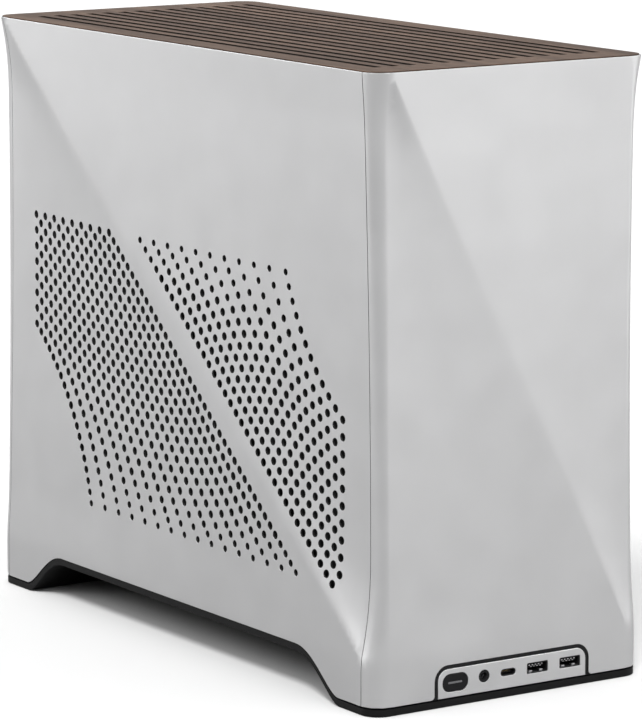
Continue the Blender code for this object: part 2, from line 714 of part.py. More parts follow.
def tube(name, stops, radius, paint):
    """A round lead through its stops, with the corners eased by cutting each of them twice."""
    points = [Vector(stop) for stop in stops]
    for _ in range(2):
        eased = [points[0]]
        for a, b in zip(points, points[1:]):
            eased += [a.lerp(b, 0.25), a.lerp(b, 0.75)]
        points = [*eased, points[-1]]
    curve = bpy.data.curves.new(name, "CURVE")
    curve.dimensions = "3D"
    curve.bevel_depth = radius
    curve.bevel_resolution = 1
    curve.use_fill_caps = True
    spline = curve.splines.new("POLY")
    spline.points.add(len(points) - 1)
    for slot, point in zip(spline.points, points):
        slot.co = (*point, 1.0)
    curve.materials.append(paint(name))
    made = bpy.data.objects.new(name, curve)
    parts.objects.link(made)


# Main board


def main_board():
    """Square board on the spine's standoffs, with its connectors, and the parts plugged into it."""
    front = BOARD_REAR - BOARD
    board = box("motherboard", (BOARD_X, front, BOARD_Z), (BOARD_X + PCB, BOARD_REAR, BOARD_Z + BOARD), circuit_board)
    face = BOARD_X + PCB - 0.0002
    ports = (face, BOARD_REAR - 0.026, BOARD_Z + 0.018), (face + 0.030, BOARD_REAR - 0.0010, BOARD_Z + 0.150)
    blocks = [
        box("rear_ports", *ports),
        box("board_socket", (face, 0.061, 0.178), (face + 0.0045, 0.101, 0.218)),
        box("card_slot", (face, 0.030, BOARD_Z + 0.003), (face + 0.010, 0.118, BOARD_Z + 0.0102)),
        box("regulator_sink", (face, 0.116, 0.190), (face + 0.020, 0.1345, 0.262)),
        box("chip_sink", (face, 0.027, 0.152), (face + 0.006, 0.049, 0.178)),
    ]
    for number, y in enumerate(memory_places()):
        blocks.append(box(f"memory_slot_{number}", (face, y - 0.0030, 0.132), (face + 0.006, y + 0.0030, 0.272)))
    join(board, *blocks)
    for number, y in enumerate(memory_places(), 1):
        low, high = (face + 0.0063, y - 0.0018, 0.1345), (face + 0.0370, y + 0.0018, 0.2680)
        box(f"memory_module_{number}", low, high, memory_spreader)
    low = (face + 0.0025, 0.024, BOARD_Z + 0.0175)
    box("ssd", low, (face + 0.0048, 0.104, BOARD_Z + 0.0395), circuit_board)
    (low_x, low_z), (high_x, high_z) = shield_outline(0.0)
    start, stop = (low_x, REAR_PLATE_Y - 0.0002, low_z), (high_x, REAR_PLATE_Y + 0.0010, high_z)
    shield = box("io_shield", start, stop, shield_steel)
    openings = ((0.016, 0.030), (0.036, 0.050), (0.058, 0.074), (0.080, 0.096), (0.102, 0.116), (0.122, 0.150))
    for number, (start, stop) in enumerate(openings):
        low = (low_x + 0.003, REAR_PLATE_Y - 0.01, low_z + start)
        cut(shield, box(f"shield_hole_{number}", low, (low_x + 0.027, REAR_PLATE_Y + 0.01, low_z + stop)))


def memory_places():
    front = BOARD_REAR - BOARD
    return (front + 0.014, front + 0.0235)


def processor_cooler():
    """Low cooler on the processor: a cold plate under a stack of fins, and a thin fan on top."""
    x = BOARD_X + PCB + 0.0046
    middle = (0.081, 0.198)

    def square(name, low_x, high_x, half, paint=None):
        low, high = (low_x, middle[0] - half, middle[1] - half), (high_x, middle[0] + half, middle[1] + half)
        return box(name, low, high, paint)

    plate = square("cpu_heatsink", x, x + 0.006, 0.018, aluminium)
    half = 0.0285
    slab = square("cooler_slab", x + 0.0058, x + 0.0090, half)
    fins = []
    count = 14
    for number in range(count):
        y = middle[0] - half + (2 * half - FIN) * number / (count - 1)
        fins.append(box(f"fin_{number}", (x + 0.0088, y, middle[1] - half), (x + 0.0260, y + FIN, middle[1] + half)))
    join(plate, slab, *fins)
    fan_frame("cpu_fan_frame", (x + 0.0265 + 0.0075, *middle), (1, 0, 0), 0.060, 0.015, -1)
    rotor("cpu_fan_rotor", (x + 0.0265 + 0.0090, *middle), (1, 0, 0), 0.0265, 0.0105, 7)


# Graphics card on the other side of the spine


def graphics_card():
    """Card that stands beside the spine, its two fans facing the perforated panel."""
    z0, z1 = CARD_Z
    y0, y1 = CARD_FRONT, REAR_PLATE_Y - 0.002
    board_x = -0.0305
    board = box("gpu_board", (board_x, y0, z0), (board_x + PCB, y1, z1 - 0.004), circuit_board)
    fingers = box("card_fingers", (board_x, 0.031, z0 - 0.0068), (board_x + PCB, 0.117, z0 + 0.001))
    chip = box("card_chip", (board_x - 0.0030, -0.010, 0.118), (board_x + 0.0002, 0.030, 0.158))
    join(board, fingers, chip)
    back = (board_x + PCB + 0.0022, board_x + PCB + 0.0034)
    box("gpu_backplate", (back[0], y0, z0 + 0.001), (back[1], y1, z1 - 0.004), aluminium)
    sink_x = board_x - 0.0030 - CLEAR
    sink = box("gpu_heatsink", (sink_x - 0.004, y0 + 0.004, z0 + 0.004), (sink_x, y1 - 0.012, z1 - 0.006), aluminium)
    fins = []
    count = 20
    for number in range(count):
        y = y0 + 0.004 + (y1 - y0 - 0.016 - FIN) * number / (count - 1)
        low, high = (sink_x - 0.0190, y, z0 + 0.004), (sink_x - 0.0038, y + FIN, z1 - 0.006)
        fins.append(box(f"card_fin_{number}", low, high))
    join(sink, *fins)
    shroud_x = (-0.0690, sink_x - 0.0190 - CLEAR)
    outline = rounded((y0, z0 + 0.001), (y1 - 0.006, z1), 0.006, 3)
    shroud = prism("gpu_shroud", outline, "x", *shroud_x, black_plastic)
    span = y1 - 0.006 - y0
    for place, row in ((y0 + span * 0.27, "front"), (y0 + span * 0.73, "rear")):
        centre = (sum(shroud_x) / 2, place, (z0 + 0.001 + z1) / 2)
        cut(shroud, cylinder(f"card_duct_{row}", centre, (1, 0, 0), 0.0505, 0.05, None, 40))
        rotor(f"gpu_fan_rotor_{row}", centre, (1, 0, 0), 0.0490, 0.0125, 9)
    (low_x, low_z), (high_x, high_z) = bracket_outline(0.0)
    start, stop = (low_x, REAR_PLATE_Y - 0.0002, low_z), (high_x, REAR_PLATE_Y + 0.0010, high_z)
    bracket = box("gpu_bracket", start, stop, shield_steel)
    for number, z in enumerate((0.094, 0.118, 0.142, 0.166)):
        low = (board_x - 0.0100, REAR_PLATE_Y - 0.01, z)
        cut(bracket, box(f"display_hole_{number}", low, (board_x - 0.0040, REAR_PLATE_Y + 0.01, z + 0.016)))
    for number in range(7):
        z = 0.086 + number * 0.0150
        low = (low_x + 0.004, REAR_PLATE_Y - 0.01, z)
        cut(bracket, box(f"bracket_vent_{number}", low, (low_x + 0.020, REAR_PLATE_Y + 0.01, z + 0.008)))


def riser():
    """Flat ribbon that links the board's slot to the card, round the spine's lower edge."""
    slot_x = BOARD_X + PCB - 0.0002 + 0.010
    plug_bottom = BOARD_Z + 0.001
    box("riser_plug", (slot_x + CLEAR, 0.031, plug_bottom), (slot_x + 0.0095, 0.117, BOARD_Z + 0.0130), black_plastic)
    socket_top = CARD_Z[0] - 0.0068 - CLEAR
    socket_bottom = socket_top - 0.0090
    box("riser_socket", (-0.0335, 0.031, socket_bottom), (-0.0261, 0.117, socket_top), black_plastic)

    # The ribbon's line in (x, z): down from the plug, round two bends, and up to the socket
    plug_x, socket_x = slot_x + 0.0050, -0.0298
    bend = 0.0035
    level = 0.0525 + bend

    def arc(centre, first):
        turns = [-math.pi / 4 * k for k in range(first, first + 3)]
        return [(centre + bend * math.cos(a), level + bend * math.sin(a)) for a in turns]

    line = [(plug_x, plug_bottom - CLEAR), *arc(plug_x - bend, 0), *arc(socket_x + bend, 2)]
    line.append((socket_x, socket_bottom - CLEAR))
    bm = bmesh.new()
    near, far = [[bm.verts.new((x, y, z)) for x, z in line] for y in (0.036, 0.112)]
    for k in range(len(line) - 1):
        bm.faces.new((near[k], near[k + 1], far[k + 1], far[k]))
    ribbon = from_bmesh("riser_ribbon", bm, black_plastic)
    solid = ribbon.modifiers.new("ribbon", "SOLIDIFY")
    solid.thickness = 0.0010
    solid.offset = 0.0
    solid.use_even_offset = True


def thumb_screws():
    """Three screws on the rear plate: two near its top corners and one for the card's bracket."""
    places = {
        "rear_screw_left": (-0.058, 0.285),
        "rear_screw_right": (0.058, 0.285),
        "card_screw": (-0.045, CARD_Z[1] + 0.0065),
    }
    for name, (x, z) in places.items():
        y = REAR_PLATE_Y + SHEET + CLEAR
        cylinder(name, (x, y + 0.0020, z), (0, 1, 0), 0.0036, 0.0040, dark_screw, 16)


reset()
side_panels()
front_panel()
rear_panel()
base_tray()
foot_pads()
dust_filter()
top_panel()
top_carrier()
port_plate()
power_button()
sockets()
frame_sheets()
rear_plate()
bottom_fans()
power_supply()
power_inlet()
main_board()
processor_cooler()
graphics_card()
riser()
thumb_screws()
bpy.context.view_layer.update()
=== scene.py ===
"""Looks of the small desktop computer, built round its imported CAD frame. Metres, +Z up, front towards -Y."""

import json
import math
import random

import bmesh
import bpy
from mathutils import Matrix, Vector
from mathutils.geometry import delaunay_2d_cdt


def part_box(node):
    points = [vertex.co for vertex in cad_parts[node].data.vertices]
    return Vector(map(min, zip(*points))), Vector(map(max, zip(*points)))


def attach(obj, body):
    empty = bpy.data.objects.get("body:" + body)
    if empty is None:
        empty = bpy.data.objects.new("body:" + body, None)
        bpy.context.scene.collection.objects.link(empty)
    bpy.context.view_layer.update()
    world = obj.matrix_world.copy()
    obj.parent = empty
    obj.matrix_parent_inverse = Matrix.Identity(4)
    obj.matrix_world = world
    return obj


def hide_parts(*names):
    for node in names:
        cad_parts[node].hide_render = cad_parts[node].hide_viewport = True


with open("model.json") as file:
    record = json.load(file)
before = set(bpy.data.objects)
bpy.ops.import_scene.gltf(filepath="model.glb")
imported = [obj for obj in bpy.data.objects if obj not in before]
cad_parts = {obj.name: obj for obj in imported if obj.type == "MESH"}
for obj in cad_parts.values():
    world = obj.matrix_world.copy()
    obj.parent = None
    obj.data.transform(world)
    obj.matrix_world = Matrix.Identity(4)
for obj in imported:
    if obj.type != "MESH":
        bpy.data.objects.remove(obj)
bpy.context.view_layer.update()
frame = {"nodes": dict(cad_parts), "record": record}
nodes = frame["nodes"]

MM = 0.001

# The case, as the CAD source has it, but for the base's underside, which is 0.7 mm lower
WIDTH, LENGTH, HEIGHT = 0.165, 0.366, 0.314
CORNER = 0.011
SKIN = 0.0012
GAP = 0.0004
SEAM_Y = LENGTH / 2 - 0.010
RIM_Z = HEIGHT - 0.0006
SKIRT_Z = 0.027
SIDE_PINCH, FRONT_PINCH, REAR_PINCH = 0.0056, 0.0030, 0.0012
RIM_FLARE, SKIRT_FLARE = 0.145, 0.18
RIDGE_SOFT = 0.024
REACH = LENGTH / 2 - CORNER
FLAT = WIDTH / 2 - CORNER
ARC = CORNER * (math.pi / 2 - 0.11)
WRAP = 2 * ARC + 2 * FLAT
SKIN_BOTTOM = 0.0047
BASE_BOTTOM = 0.0001
BASE_THICK = 0.0036
ARCH_TOP, ARCH_FLAT, ARCH_FOOT = 0.0246, 0.115, 0.1525
CLEAR = 0.0003
FAN_Y, FAN_HOLE = (-0.0606, 0.0606), 0.056
FILTER_Z = 0.0169

# Slatted top: its slots, and the lip that lies on the metal's rim
SLOTS, SLOT_PITCH, SLOT_HALF, SLOT_ENDS = 14, 0.01005, 0.00225, (-0.1620, 0.1610)
BOARD_INSET, BOARD_THICK, LIP = 0.0011, 0.0086, 0.0005

# Port plate
FACE = -LENGTH / 2
PLATE_X = (-0.0436, 0.0464)
PLATE_TOP = 0.0191
BEZEL = 0.0017
PORT_Z = 0.0127
USB_A_X, USB_C_X, JACK_X = (0.01665, 0.0367), -0.0013, -0.0159

# Camera: its place, the way it looks and its focal length in millimetres
CAMERA_AT, CAMERA_WAY, LENS = (-1.19747, -1.81471, 0.51953), (0.54562, 0.82043, -0.17086), 210.45

# Light: a bright band of sky as (sine of elevation, grey), dimmed across SKY_WAY by a range (from, to, lowest, full);
# low softboxes that rake the faces, as (azimuth, elevation, watts); a sun as (azimuth, elevation, strength, width in
# degrees); and the grey of the sky and the floor as seen, and of the floor as it lights the object
SKY = ((0.0, 0.03), (0.30, 0.05), (0.45, 1.0), (0.60, 1.0), (0.78, 0.12), (1.0, 0.12))
SKY_STRENGTH = 6.4
SKY_SEEN = 0.149
SKY_WAY = (0.545, -0.839, 0.0)
SKY_FADE = (0.05, 0.60, 0.72, 1.0)
SOFTBOXES = ((60, 15, 12.6), (-115, 15, 5.5), (-150, 15, 5.8), (24, 15, 4.2))
SOFTBOX_SIZE, SOFTBOX_FAR = 1.2, 2.2
SUN = (-42, 50, 5.6, 15)
AIM = Vector((0.0, 0.0, 0.15))
FLOOR_SEEN = 0.305
FLOOR_BOUNCE = 0.17


# Shader nodes


def add(nt, kind, values=(), links=(), **traits):
    """A node: traits are its attributes, values what its sockets hold, and links what feeds them."""
    made = nt.nodes.new("ShaderNode" + kind)
    for name, value in traits.items():
        setattr(made, name, value)
    for name, value in dict(values).items():
        made.inputs[name].default_value = value
    for name, source in dict(links).items():
        nt.links.new(source, made.inputs[name])
    return made


def ramp(nt, value, stops):
    made = add(nt, "ValToRGB", links={"Fac": value})
    while len(made.color_ramp.elements) < len(stops):
        made.color_ramp.elements.new(0.5)
    for element, (at, color) in zip(made.color_ramp.elements, stops):
        element.position = at
        element.color = (*color, 1.0)
    return made.outputs["Color"]


def noise(nt, stretch, scale, detail, distortion=0.0):
    """Noise in metres of the object's own space, drawn out along an axis where stretch is small."""
    mapping = add(nt, "Mapping", {"Scale": stretch}, {"Vector": add(nt, "TexCoord").outputs["Object"]})
    values = {"Scale": scale, "Detail": detail, "Distortion": distortion}
    return add(nt, "TexNoise", values, {"Vector": mapping.outputs[0]}).outputs["Fac"]


def relief(nt, height, strength, distance):
    made = add(nt, "Bump", {"Strength": strength, "Distance": distance}, {"Height": height})
    nt.links.new(made.outputs[0], nt.nodes["Principled BSDF"].inputs["Normal"])


def camera_mix(nt, seen):
    """Mixes what lights the object, its A, with the grey that the camera sees."""
    ray = add(nt, "LightPath").outputs["Is Camera Ray"]
    return add(nt, "Mix", {"B": (seen, seen, seen, 1.0)}, {"Factor": ray}, data_type="RGBA")


# Camera, light and floor


def direction(azimuth, elevation):
    turn, rise = math.radians(azimuth), math.radians(elevation)
    return Vector((math.sin(turn) * math.cos(rise), -math.cos(turn) * math.cos(rise), math.sin(rise)))


def aimed(name, data, way):
    """A light or camera that looks along way."""
    made = bpy.data.objects.new(name, data)
    made.rotation_euler = way.to_track_quat("-Z", "Y").to_euler()
    bpy.context.scene.collection.objects.link(made)
    return made


def sky():
    world = bpy.data.worlds.new("studio")
    world.use_nodes = True
    nt = world.node_tree
    way = add(nt, "TexCoord").outputs["Generated"]
    rise = add(nt, "SeparateXYZ", links={0: way}).outputs["Z"]
    along = add(nt, "VectorMath", {1: SKY_WAY}, {0: way}, operation="DOT_PRODUCT").outputs["Value"]
    apart = add(nt, "Math", links={0: along}, operation="ABSOLUTE").outputs[0]
    fade = dict(zip(("From Min", "From Max", "To Min", "To Max"), SKY_FADE))
    dim = add(nt, "MapRange", fade, {"Value": apart}, interpolation_type="SMOOTHSTEP").outputs[0]
    band = ramp(nt, rise, [(at, (grey, grey, grey)) for at, grey in SKY])
    lit = add(nt, "VectorMath", links={0: band, "Scale": dim}, operation="SCALE").outputs[0]
    mix = camera_mix(nt, SKY_SEEN)
    nt.links.new(lit, mix.inputs["A"])
    nt.links.new(mix.outputs["Result"], nt.nodes["Background"].inputs["Color"])
    nt.nodes["Background"].inputs["Strength"].default_value = SKY_STRENGTH
    bpy.context.scene.world = world


def lights():
    for number, (azimuth, elevation, power) in enumerate(SOFTBOXES):
        data = bpy.data.lights.new(f"softbox_{number}", "AREA")
        data.shape = "SQUARE"
        data.size = SOFTBOX_SIZE
        data.energy = power
        at = AIM + direction(azimuth, elevation) * SOFTBOX_FAR
        lamp = aimed(f"softbox_{number}", data, AIM - at)
        lamp.location = at
        lamp.visible_camera = False
    azimuth, elevation, strength, width = SUN
    data = bpy.data.lights.new("key", "SUN")
    data.energy = strength
    data.angle = math.radians(width)
    aimed("key", data, -direction(azimuth, elevation)).visible_glossy = False


def floor_white():
    """Paper white to look at, and a mid grey in what it throws back on to the object."""
    made = plain("floor_white", (0.92, 0.92, 0.92), 0.9, specular=0.0)
    mix = camera_mix(made.node_tree, FLOOR_SEEN)
    mix.inputs["A"].default_value = (FLOOR_BOUNCE, FLOOR_BOUNCE, FLOOR_BOUNCE, 1.0)
    made.node_tree.links.new(mix.outputs["Result"], made.node_tree.nodes["Principled BSDF"].inputs["Base Color"])
    return made


def studio():
    data = bpy.data.cameras.new("camera")
    data.lens = LENS
    data.sensor_width = 36.0
    data.sensor_fit = "AUTO"
    data.clip_start = 0.1
    data.clip_end = 100.0
    camera = aimed("camera", data, Vector(CAMERA_WAY))
    camera.location = CAMERA_AT
    bpy.context.scene.camera = camera
    bpy.context.scene.view_settings.view_transform = "Standard"
    sky()
    lights()
    bm = bmesh.new()
    bmesh.ops.create_grid(bm, x_segments=2, y_segments=2, size=30.0)
    floor = to_object("floor", bm)
    floor.data.materials.append(floor_white())


# Materials


def plain(name, color, roughness, metallic=0.0, specular=0.5):
    made = bpy.data.materials.new(name)
    made.use_nodes = True
    shader = made.node_tree.nodes["Principled BSDF"]
    shader.inputs["Base Color"].default_value = (*color, 1.0)
    shader.inputs["Roughness"].default_value = roughness
    shader.inputs["Metallic"].default_value = metallic
    shader.inputs["Specular IOR Level"].default_value = specular
    return made


def textured(name, color, roughness, metallic=0.0, stretch=(1, 1, 1), scale=300.0, mottle=0.1, rough_mottle=0.05,
             grain=2500.0, bump=0.1, height=0.0001, detail=4.0, specular=0.5):
    """A finish whose tone, gloss and fine relief all vary."""
    made = plain(name, color, roughness, metallic, specular)
    nt = made.node_tree
    shader = nt.nodes["Principled BSDF"]
    tone = noise(nt, stretch, scale, detail)
    stops = ((0.3, [c * (1 - mottle) for c in color]), (0.7, [min(1.0, c * (1 + mottle)) for c in color]))
    nt.links.new(ramp(nt, tone, stops), shader.inputs["Base Color"])
    span = {"From Min": 0.3, "From Max": 0.7, "To Min": max(0.02, roughness - rough_mottle),
            "To Max": min(1.0, roughness + rough_mottle)}
    nt.links.new(add(nt, "MapRange", span, {"Value": tone}).outputs[0], shader.inputs["Roughness"])
    relief(nt, noise(nt, stretch, grain, 2.0), bump, height)
    return made


def wood(name):
    """Walnut, its grain along Y: broad bands, fine streaks and short dark pores."""
    made = plain(name, (0.1, 0.065, 0.05), 0.6, specular=0.03)
    nt = made.node_tree

    def times(amount, one, two):
        return add(nt, "Mix", {"Factor": amount}, {"A": one, "B": two}, data_type="RGBA",
                   blend_type="MULTIPLY").outputs["Result"]

    white = (1.0, 1.0, 1.0)
    bands = ramp(nt, noise(nt, (1, 0.06, 1), 90.0, 4.0, 0.4),
                 ((0.32, (0.0275, 0.0171, 0.0120)), (0.68, (0.060, 0.0390, 0.0278))))
    streaks = ramp(nt, noise(nt, (1, 0.03, 1), 700.0, 3.0), ((0.3, (0.72, 0.70, 0.68)), (0.7, white)))
    pore_field = noise(nt, (1, 0.05, 1), 1700.0, 1.0)
    pores = ramp(nt, pore_field, ((0.30, (0.45, 0.42, 0.40)), (0.42, white)))
    color = times(1.0, times(0.8, bands, streaks), pores)
    nt.links.new(color, nt.nodes["Principled BSDF"].inputs["Base Color"])
    relief(nt, pore_field, 0.35, 0.0001)
    return made


def perforated(name, color, roughness, metallic, pitch, web):
    """A sheet with a fine round mesh in it, drawn in tone and relief because its holes are far below a millimetre."""
    made = plain(name, color, roughness, metallic)
    nt = made.node_tree
    place = add(nt, "TexCoord").outputs["Object"]
    cells = add(nt, "TexVoronoi", {"Scale": 1 / pitch, "Randomness": 0.0}, {"Vector": place})
    tone = ramp(nt, cells.outputs["Distance"], ((web, [c * 0.15 for c in color]), (web + 0.08, color)))
    nt.links.new(tone, nt.nodes["Principled BSDF"].inputs["Base Color"])
    relief(nt, tone, 0.6, 0.0002)
    return made


def glowing(name, color, strength):
    made = plain(name, color, 0.35)
    shader = made.node_tree.nodes["Principled BSDF"]
    shader.inputs["Emission Color"].default_value = (*color, 1.0)
    shader.inputs["Emission Strength"].default_value = strength
    return made


paints = {
    "anodised_case": textured("blasted_aluminium", (0.60, 0.60, 0.605), 0.40, 1.0, scale=45.0, mottle=0.012,
                              rough_mottle=0.015, grain=3200.0, height=0.00005),
    "walnut": wood("walnut"),
    "black_base": textured("moulded_base", (0.0025, 0.0025, 0.0026), 0.5, scale=120.0, mottle=0.15, grain=2600.0,
                           bump=0.16, height=0.00008, specular=0.13),
    "rubber_feet": textured("rubber", (0.022, 0.022, 0.022), 0.82, scale=400.0, mottle=0.2, grain=3000.0, bump=0.3),
    "black_steel": textured("powder_coated_steel", (0.022, 0.022, 0.024), 0.5, 0.2, scale=250.0, mottle=0.12,
                            grain=1800.0, bump=0.25),
    "port_plate": textured("blasted_port_plate", (0.60, 0.60, 0.605), 0.42, 1.0, scale=60.0, mottle=0.012,
                           rough_mottle=0.015, grain=3200.0, bump=0.12, height=0.00005),
    "port_black": textured("port_black", (0.004, 0.004, 0.0042), 0.5, mottle=0.15, grain=3000.0, specular=0.12),
    "button_black": textured("button_black", (0.0045, 0.0045, 0.0048), 0.45, grain=3500.0, specular=0.1),
    "socket_steel": textured("socket_steel", (0.035, 0.035, 0.037), 0.36, 0.9, scale=500.0, grain=4000.0),
    "fan_frame": textured("fan_frame", (0.016, 0.016, 0.017), 0.5, scale=200.0, mottle=0.15, bump=0.2),
    "fan_blades": textured("fan_blades", (0.024, 0.024, 0.026), 0.4, scale=150.0),
    "circuit_board": textured("solder_mask", (0.010, 0.013, 0.014), 0.35, scale=700.0, mottle=0.5, grain=1500.0,
                              bump=0.3),
    "heatsink": textured("drawn_aluminium", (0.55, 0.55, 0.56), 0.34, 1.0, stretch=(1, 0.08, 1), scale=600.0,
                         mottle=0.06, rough_mottle=0.08, bump=0.12),
    "shield_steel": textured("plated_steel", (0.52, 0.52, 0.53), 0.32, 1.0, stretch=(0.1, 1, 1), scale=600.0,
                             mottle=0.06, rough_mottle=0.07, bump=0.12),
    "card_shroud": textured("shroud", (0.020, 0.020, 0.022), 0.4, scale=180.0, mottle=0.12, grain=2200.0, bump=0.2),
    "memory_spreader": textured("spreader", (0.05, 0.05, 0.055), 0.36, 0.85, stretch=(1, 1, 0.06), scale=700.0,
                                mottle=0.15, rough_mottle=0.08, grain=2600.0),
    "cable_black": textured("cable_black", (0.014, 0.014, 0.014), 0.55, scale=500.0, mottle=0.2, grain=2600.0,
                            bump=0.2),
    "screw_black": textured("screw_black", (0.03, 0.03, 0.032), 0.34, 0.85, scale=900.0, mottle=0.2, grain=4000.0),
    "indicator": glowing("indicator", (0.06, 0.06, 0.063), 0.01),
}
accents = {
    "gold": textured("gold_contacts", (0.62, 0.44, 0.16), 0.3, 1.0, scale=900.0, mottle=0.08, grain=3500.0),
    "tin": textured("tinned_contacts", (0.62, 0.62, 0.63), 0.34, 1.0, scale=900.0, mottle=0.08, grain=3500.0),
    "mesh": perforated("fine_mesh", (0.045, 0.042, 0.040), 0.55, 0.3, 0.0011, 0.32),
    # Black liner mesh, also laid on the side panels' hole walls as painted shade
    "liner": perforated("liner_mesh_and_hole_shade", (0.006, 0.006, 0.006), 0.8, 0.0, 0.0013, 0.3),
    "filter": perforated("nylon_mesh", (0.035, 0.035, 0.036), 0.7, 0.0, 0.0012, 0.3),
    "chip": textured("chip_epoxy", (0.02, 0.02, 0.021), 0.5, scale=900.0, mottle=0.2, grain=3500.0, bump=0.2),
    "teal": textured("connector_teal", (0.02, 0.10, 0.16), 0.45, scale=400.0, mottle=0.08),
    "ribbon": textured("ribbon_cable", (0.016, 0.016, 0.017), 0.5, stretch=(1, 1, 0.02), scale=900.0, mottle=0.5,
                       grain=900.0, bump=0.5, height=0.0004, detail=1.0),
    # Dark grey aluminium for the sheets' edge faces and the rim's top: painted shade in place of their reflection
    "sheet_edge_shade": textured("aluminium_edge_shade", (0.16, 0.16, 0.165), 0.6, 1.0, scale=60.0, mottle=0.05, grain=3200.0),
    # Near-black walnut for the slots' walls and the board's edge: painted shade in the slots and at the board's edge
    "slot_shade": textured("walnut_painted_shade", (0.003, 0.0021, 0.0017), 0.7, stretch=(1, 0.05, 1), scale=700.0,
                          mottle=0.35, grain=1700.0, bump=0.3, specular=0.08),
    "ivory": textured("connector_ivory", (0.55, 0.53, 0.47), 0.45, scale=400.0, mottle=0.05),
}


# Pieces


def to_object(name, bm):
    mesh = bpy.data.meshes.new(name)
    bm.to_mesh(mesh)
    bm.free()
    mesh.shade_smooth()
    mesh.set_sharp_from_angle(angle=math.radians(35))
    made = bpy.data.objects.new(name, mesh)
    bpy.context.scene.collection.objects.link(made)
    return made


def piece(made, body, slot, replaced=(), paint=None):
    """Gives a new object its body and finish, and says which CAD nodes it stands for."""
    if not made.data.materials:
        made.data.materials.append(None)
    made.data.materials[0] = paint or paints[slot]
    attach(made, body)
    if replaced:
        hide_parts(*replaced)
    return made


def pinch(share, flare):
    rise = 0.15 + 0.85 * math.sin(min(1.0, share / 0.85) * math.pi / 2)
    start = 1 - (1 - min(1.0, share / 0.1)) ** 2
    end = 1 - max(0.0, (share - 1 + flare) / flare) ** 2.2
    return rise * start * end


def soft(gap):
    return math.sqrt(gap * gap + RIDGE_SOFT * RIDGE_SOFT) - RIDGE_SOFT


def inset(across, down, depth):
    """The CAD source's lean of a face, with its ridge eased."""
    if across >= down:
        return depth * pinch(down, SKIRT_FLARE) * soft(across - down) / max(soft(1 - down), 1e-9) if down < 1 else 0.0
    return depth * pinch(1 - down, RIM_FLARE) * soft(down - across) / max(soft(down), 1e-9)


def share_down(z):
    return min(1.0, max(0.0, (RIM_Z - z) / (RIM_Z - SKIRT_Z)))


def side_point(y, z):
    """A point of the left side face. It turns into the corner's ellipse beyond the flat part."""
    down = share_down(z)
    if abs(y) <= REACH:
        return Vector((-WIDTH / 2 + inset((REACH - y) / (2 * REACH), down, SIDE_PINCH), y, z))
    if y < 0:
        wide, deep = CORNER - inset(1.0, down, SIDE_PINCH), CORNER - inset(0.0, down, FRONT_PINCH)
    else:
        wide, deep = CORNER - inset(0.0, down, SIDE_PINCH), CORNER - inset(1.0, down, REAR_PINCH)
    part = min(1.0, (abs(y) - REACH) / deep)
    return Vector((-(FLAT + wide * math.sqrt(1 - part * part)), y, z))


def wrap_point(u, z, depth):
    """A point of the front wrap, u along it from the left seam to the right one."""
    down = share_down(z)
    seam = SEAM_Y + GAP / 2 - REACH
    if ARC <= u <= ARC + 2 * FLAT:
        x = u - ARC - FLAT
        return Vector((x, -LENGTH / 2 + inset((x + FLAT) / (2 * FLAT), down, depth), z))
    if u < ARC:
        sign, part = -1, u / ARC
        wide, deep = CORNER - inset(1.0, down, SIDE_PINCH), CORNER - inset(0.0, down, depth)
    else:
        sign, part = 1, (WRAP - u) / ARC
        wide, deep = CORNER - inset(0.0, down, SIDE_PINCH), CORNER - inset(1.0, down, depth)
    start = math.asin(seam / deep)
    angle = start + (math.pi / 2 - start) * part
    return Vector((sign * (FLAT + wide * math.cos(angle)), -(REACH + deep * math.sin(angle)), z))


def turned(point):
    return Vector((-point.x, -point.y, point.z))


def edge_profile(bevel, thick):
    """Steps from the face to the back of a wall, as (towards the opening, depth)."""
    return [(-bevel, 0.0), (-0.62 * bevel, 0.08 * bevel), (-0.29 * bevel, 0.29 * bevel), (-0.08 * bevel, 0.62 * bevel),
            (0.0, bevel), (0.0, thick)]


def loop_normals(loop, sign):
    """Directions towards the opening at each point of an anticlockwise loop: sign 1 for an outline, -1 for a hole."""
    made = []
    count = len(loop)
    for k in range(count):
        a, b, c = loop[k - 1], loop[k], loop[(k + 1) % count]
        one = Vector((b[1] - a[1], a[0] - b[0])).normalized()
        two = Vector((c[1] - b[1], b[0] - c[0])).normalized()
        both = one + two
        made.append(both.normalized() * sign if both.length > 1e-6 else one * sign)
    return made


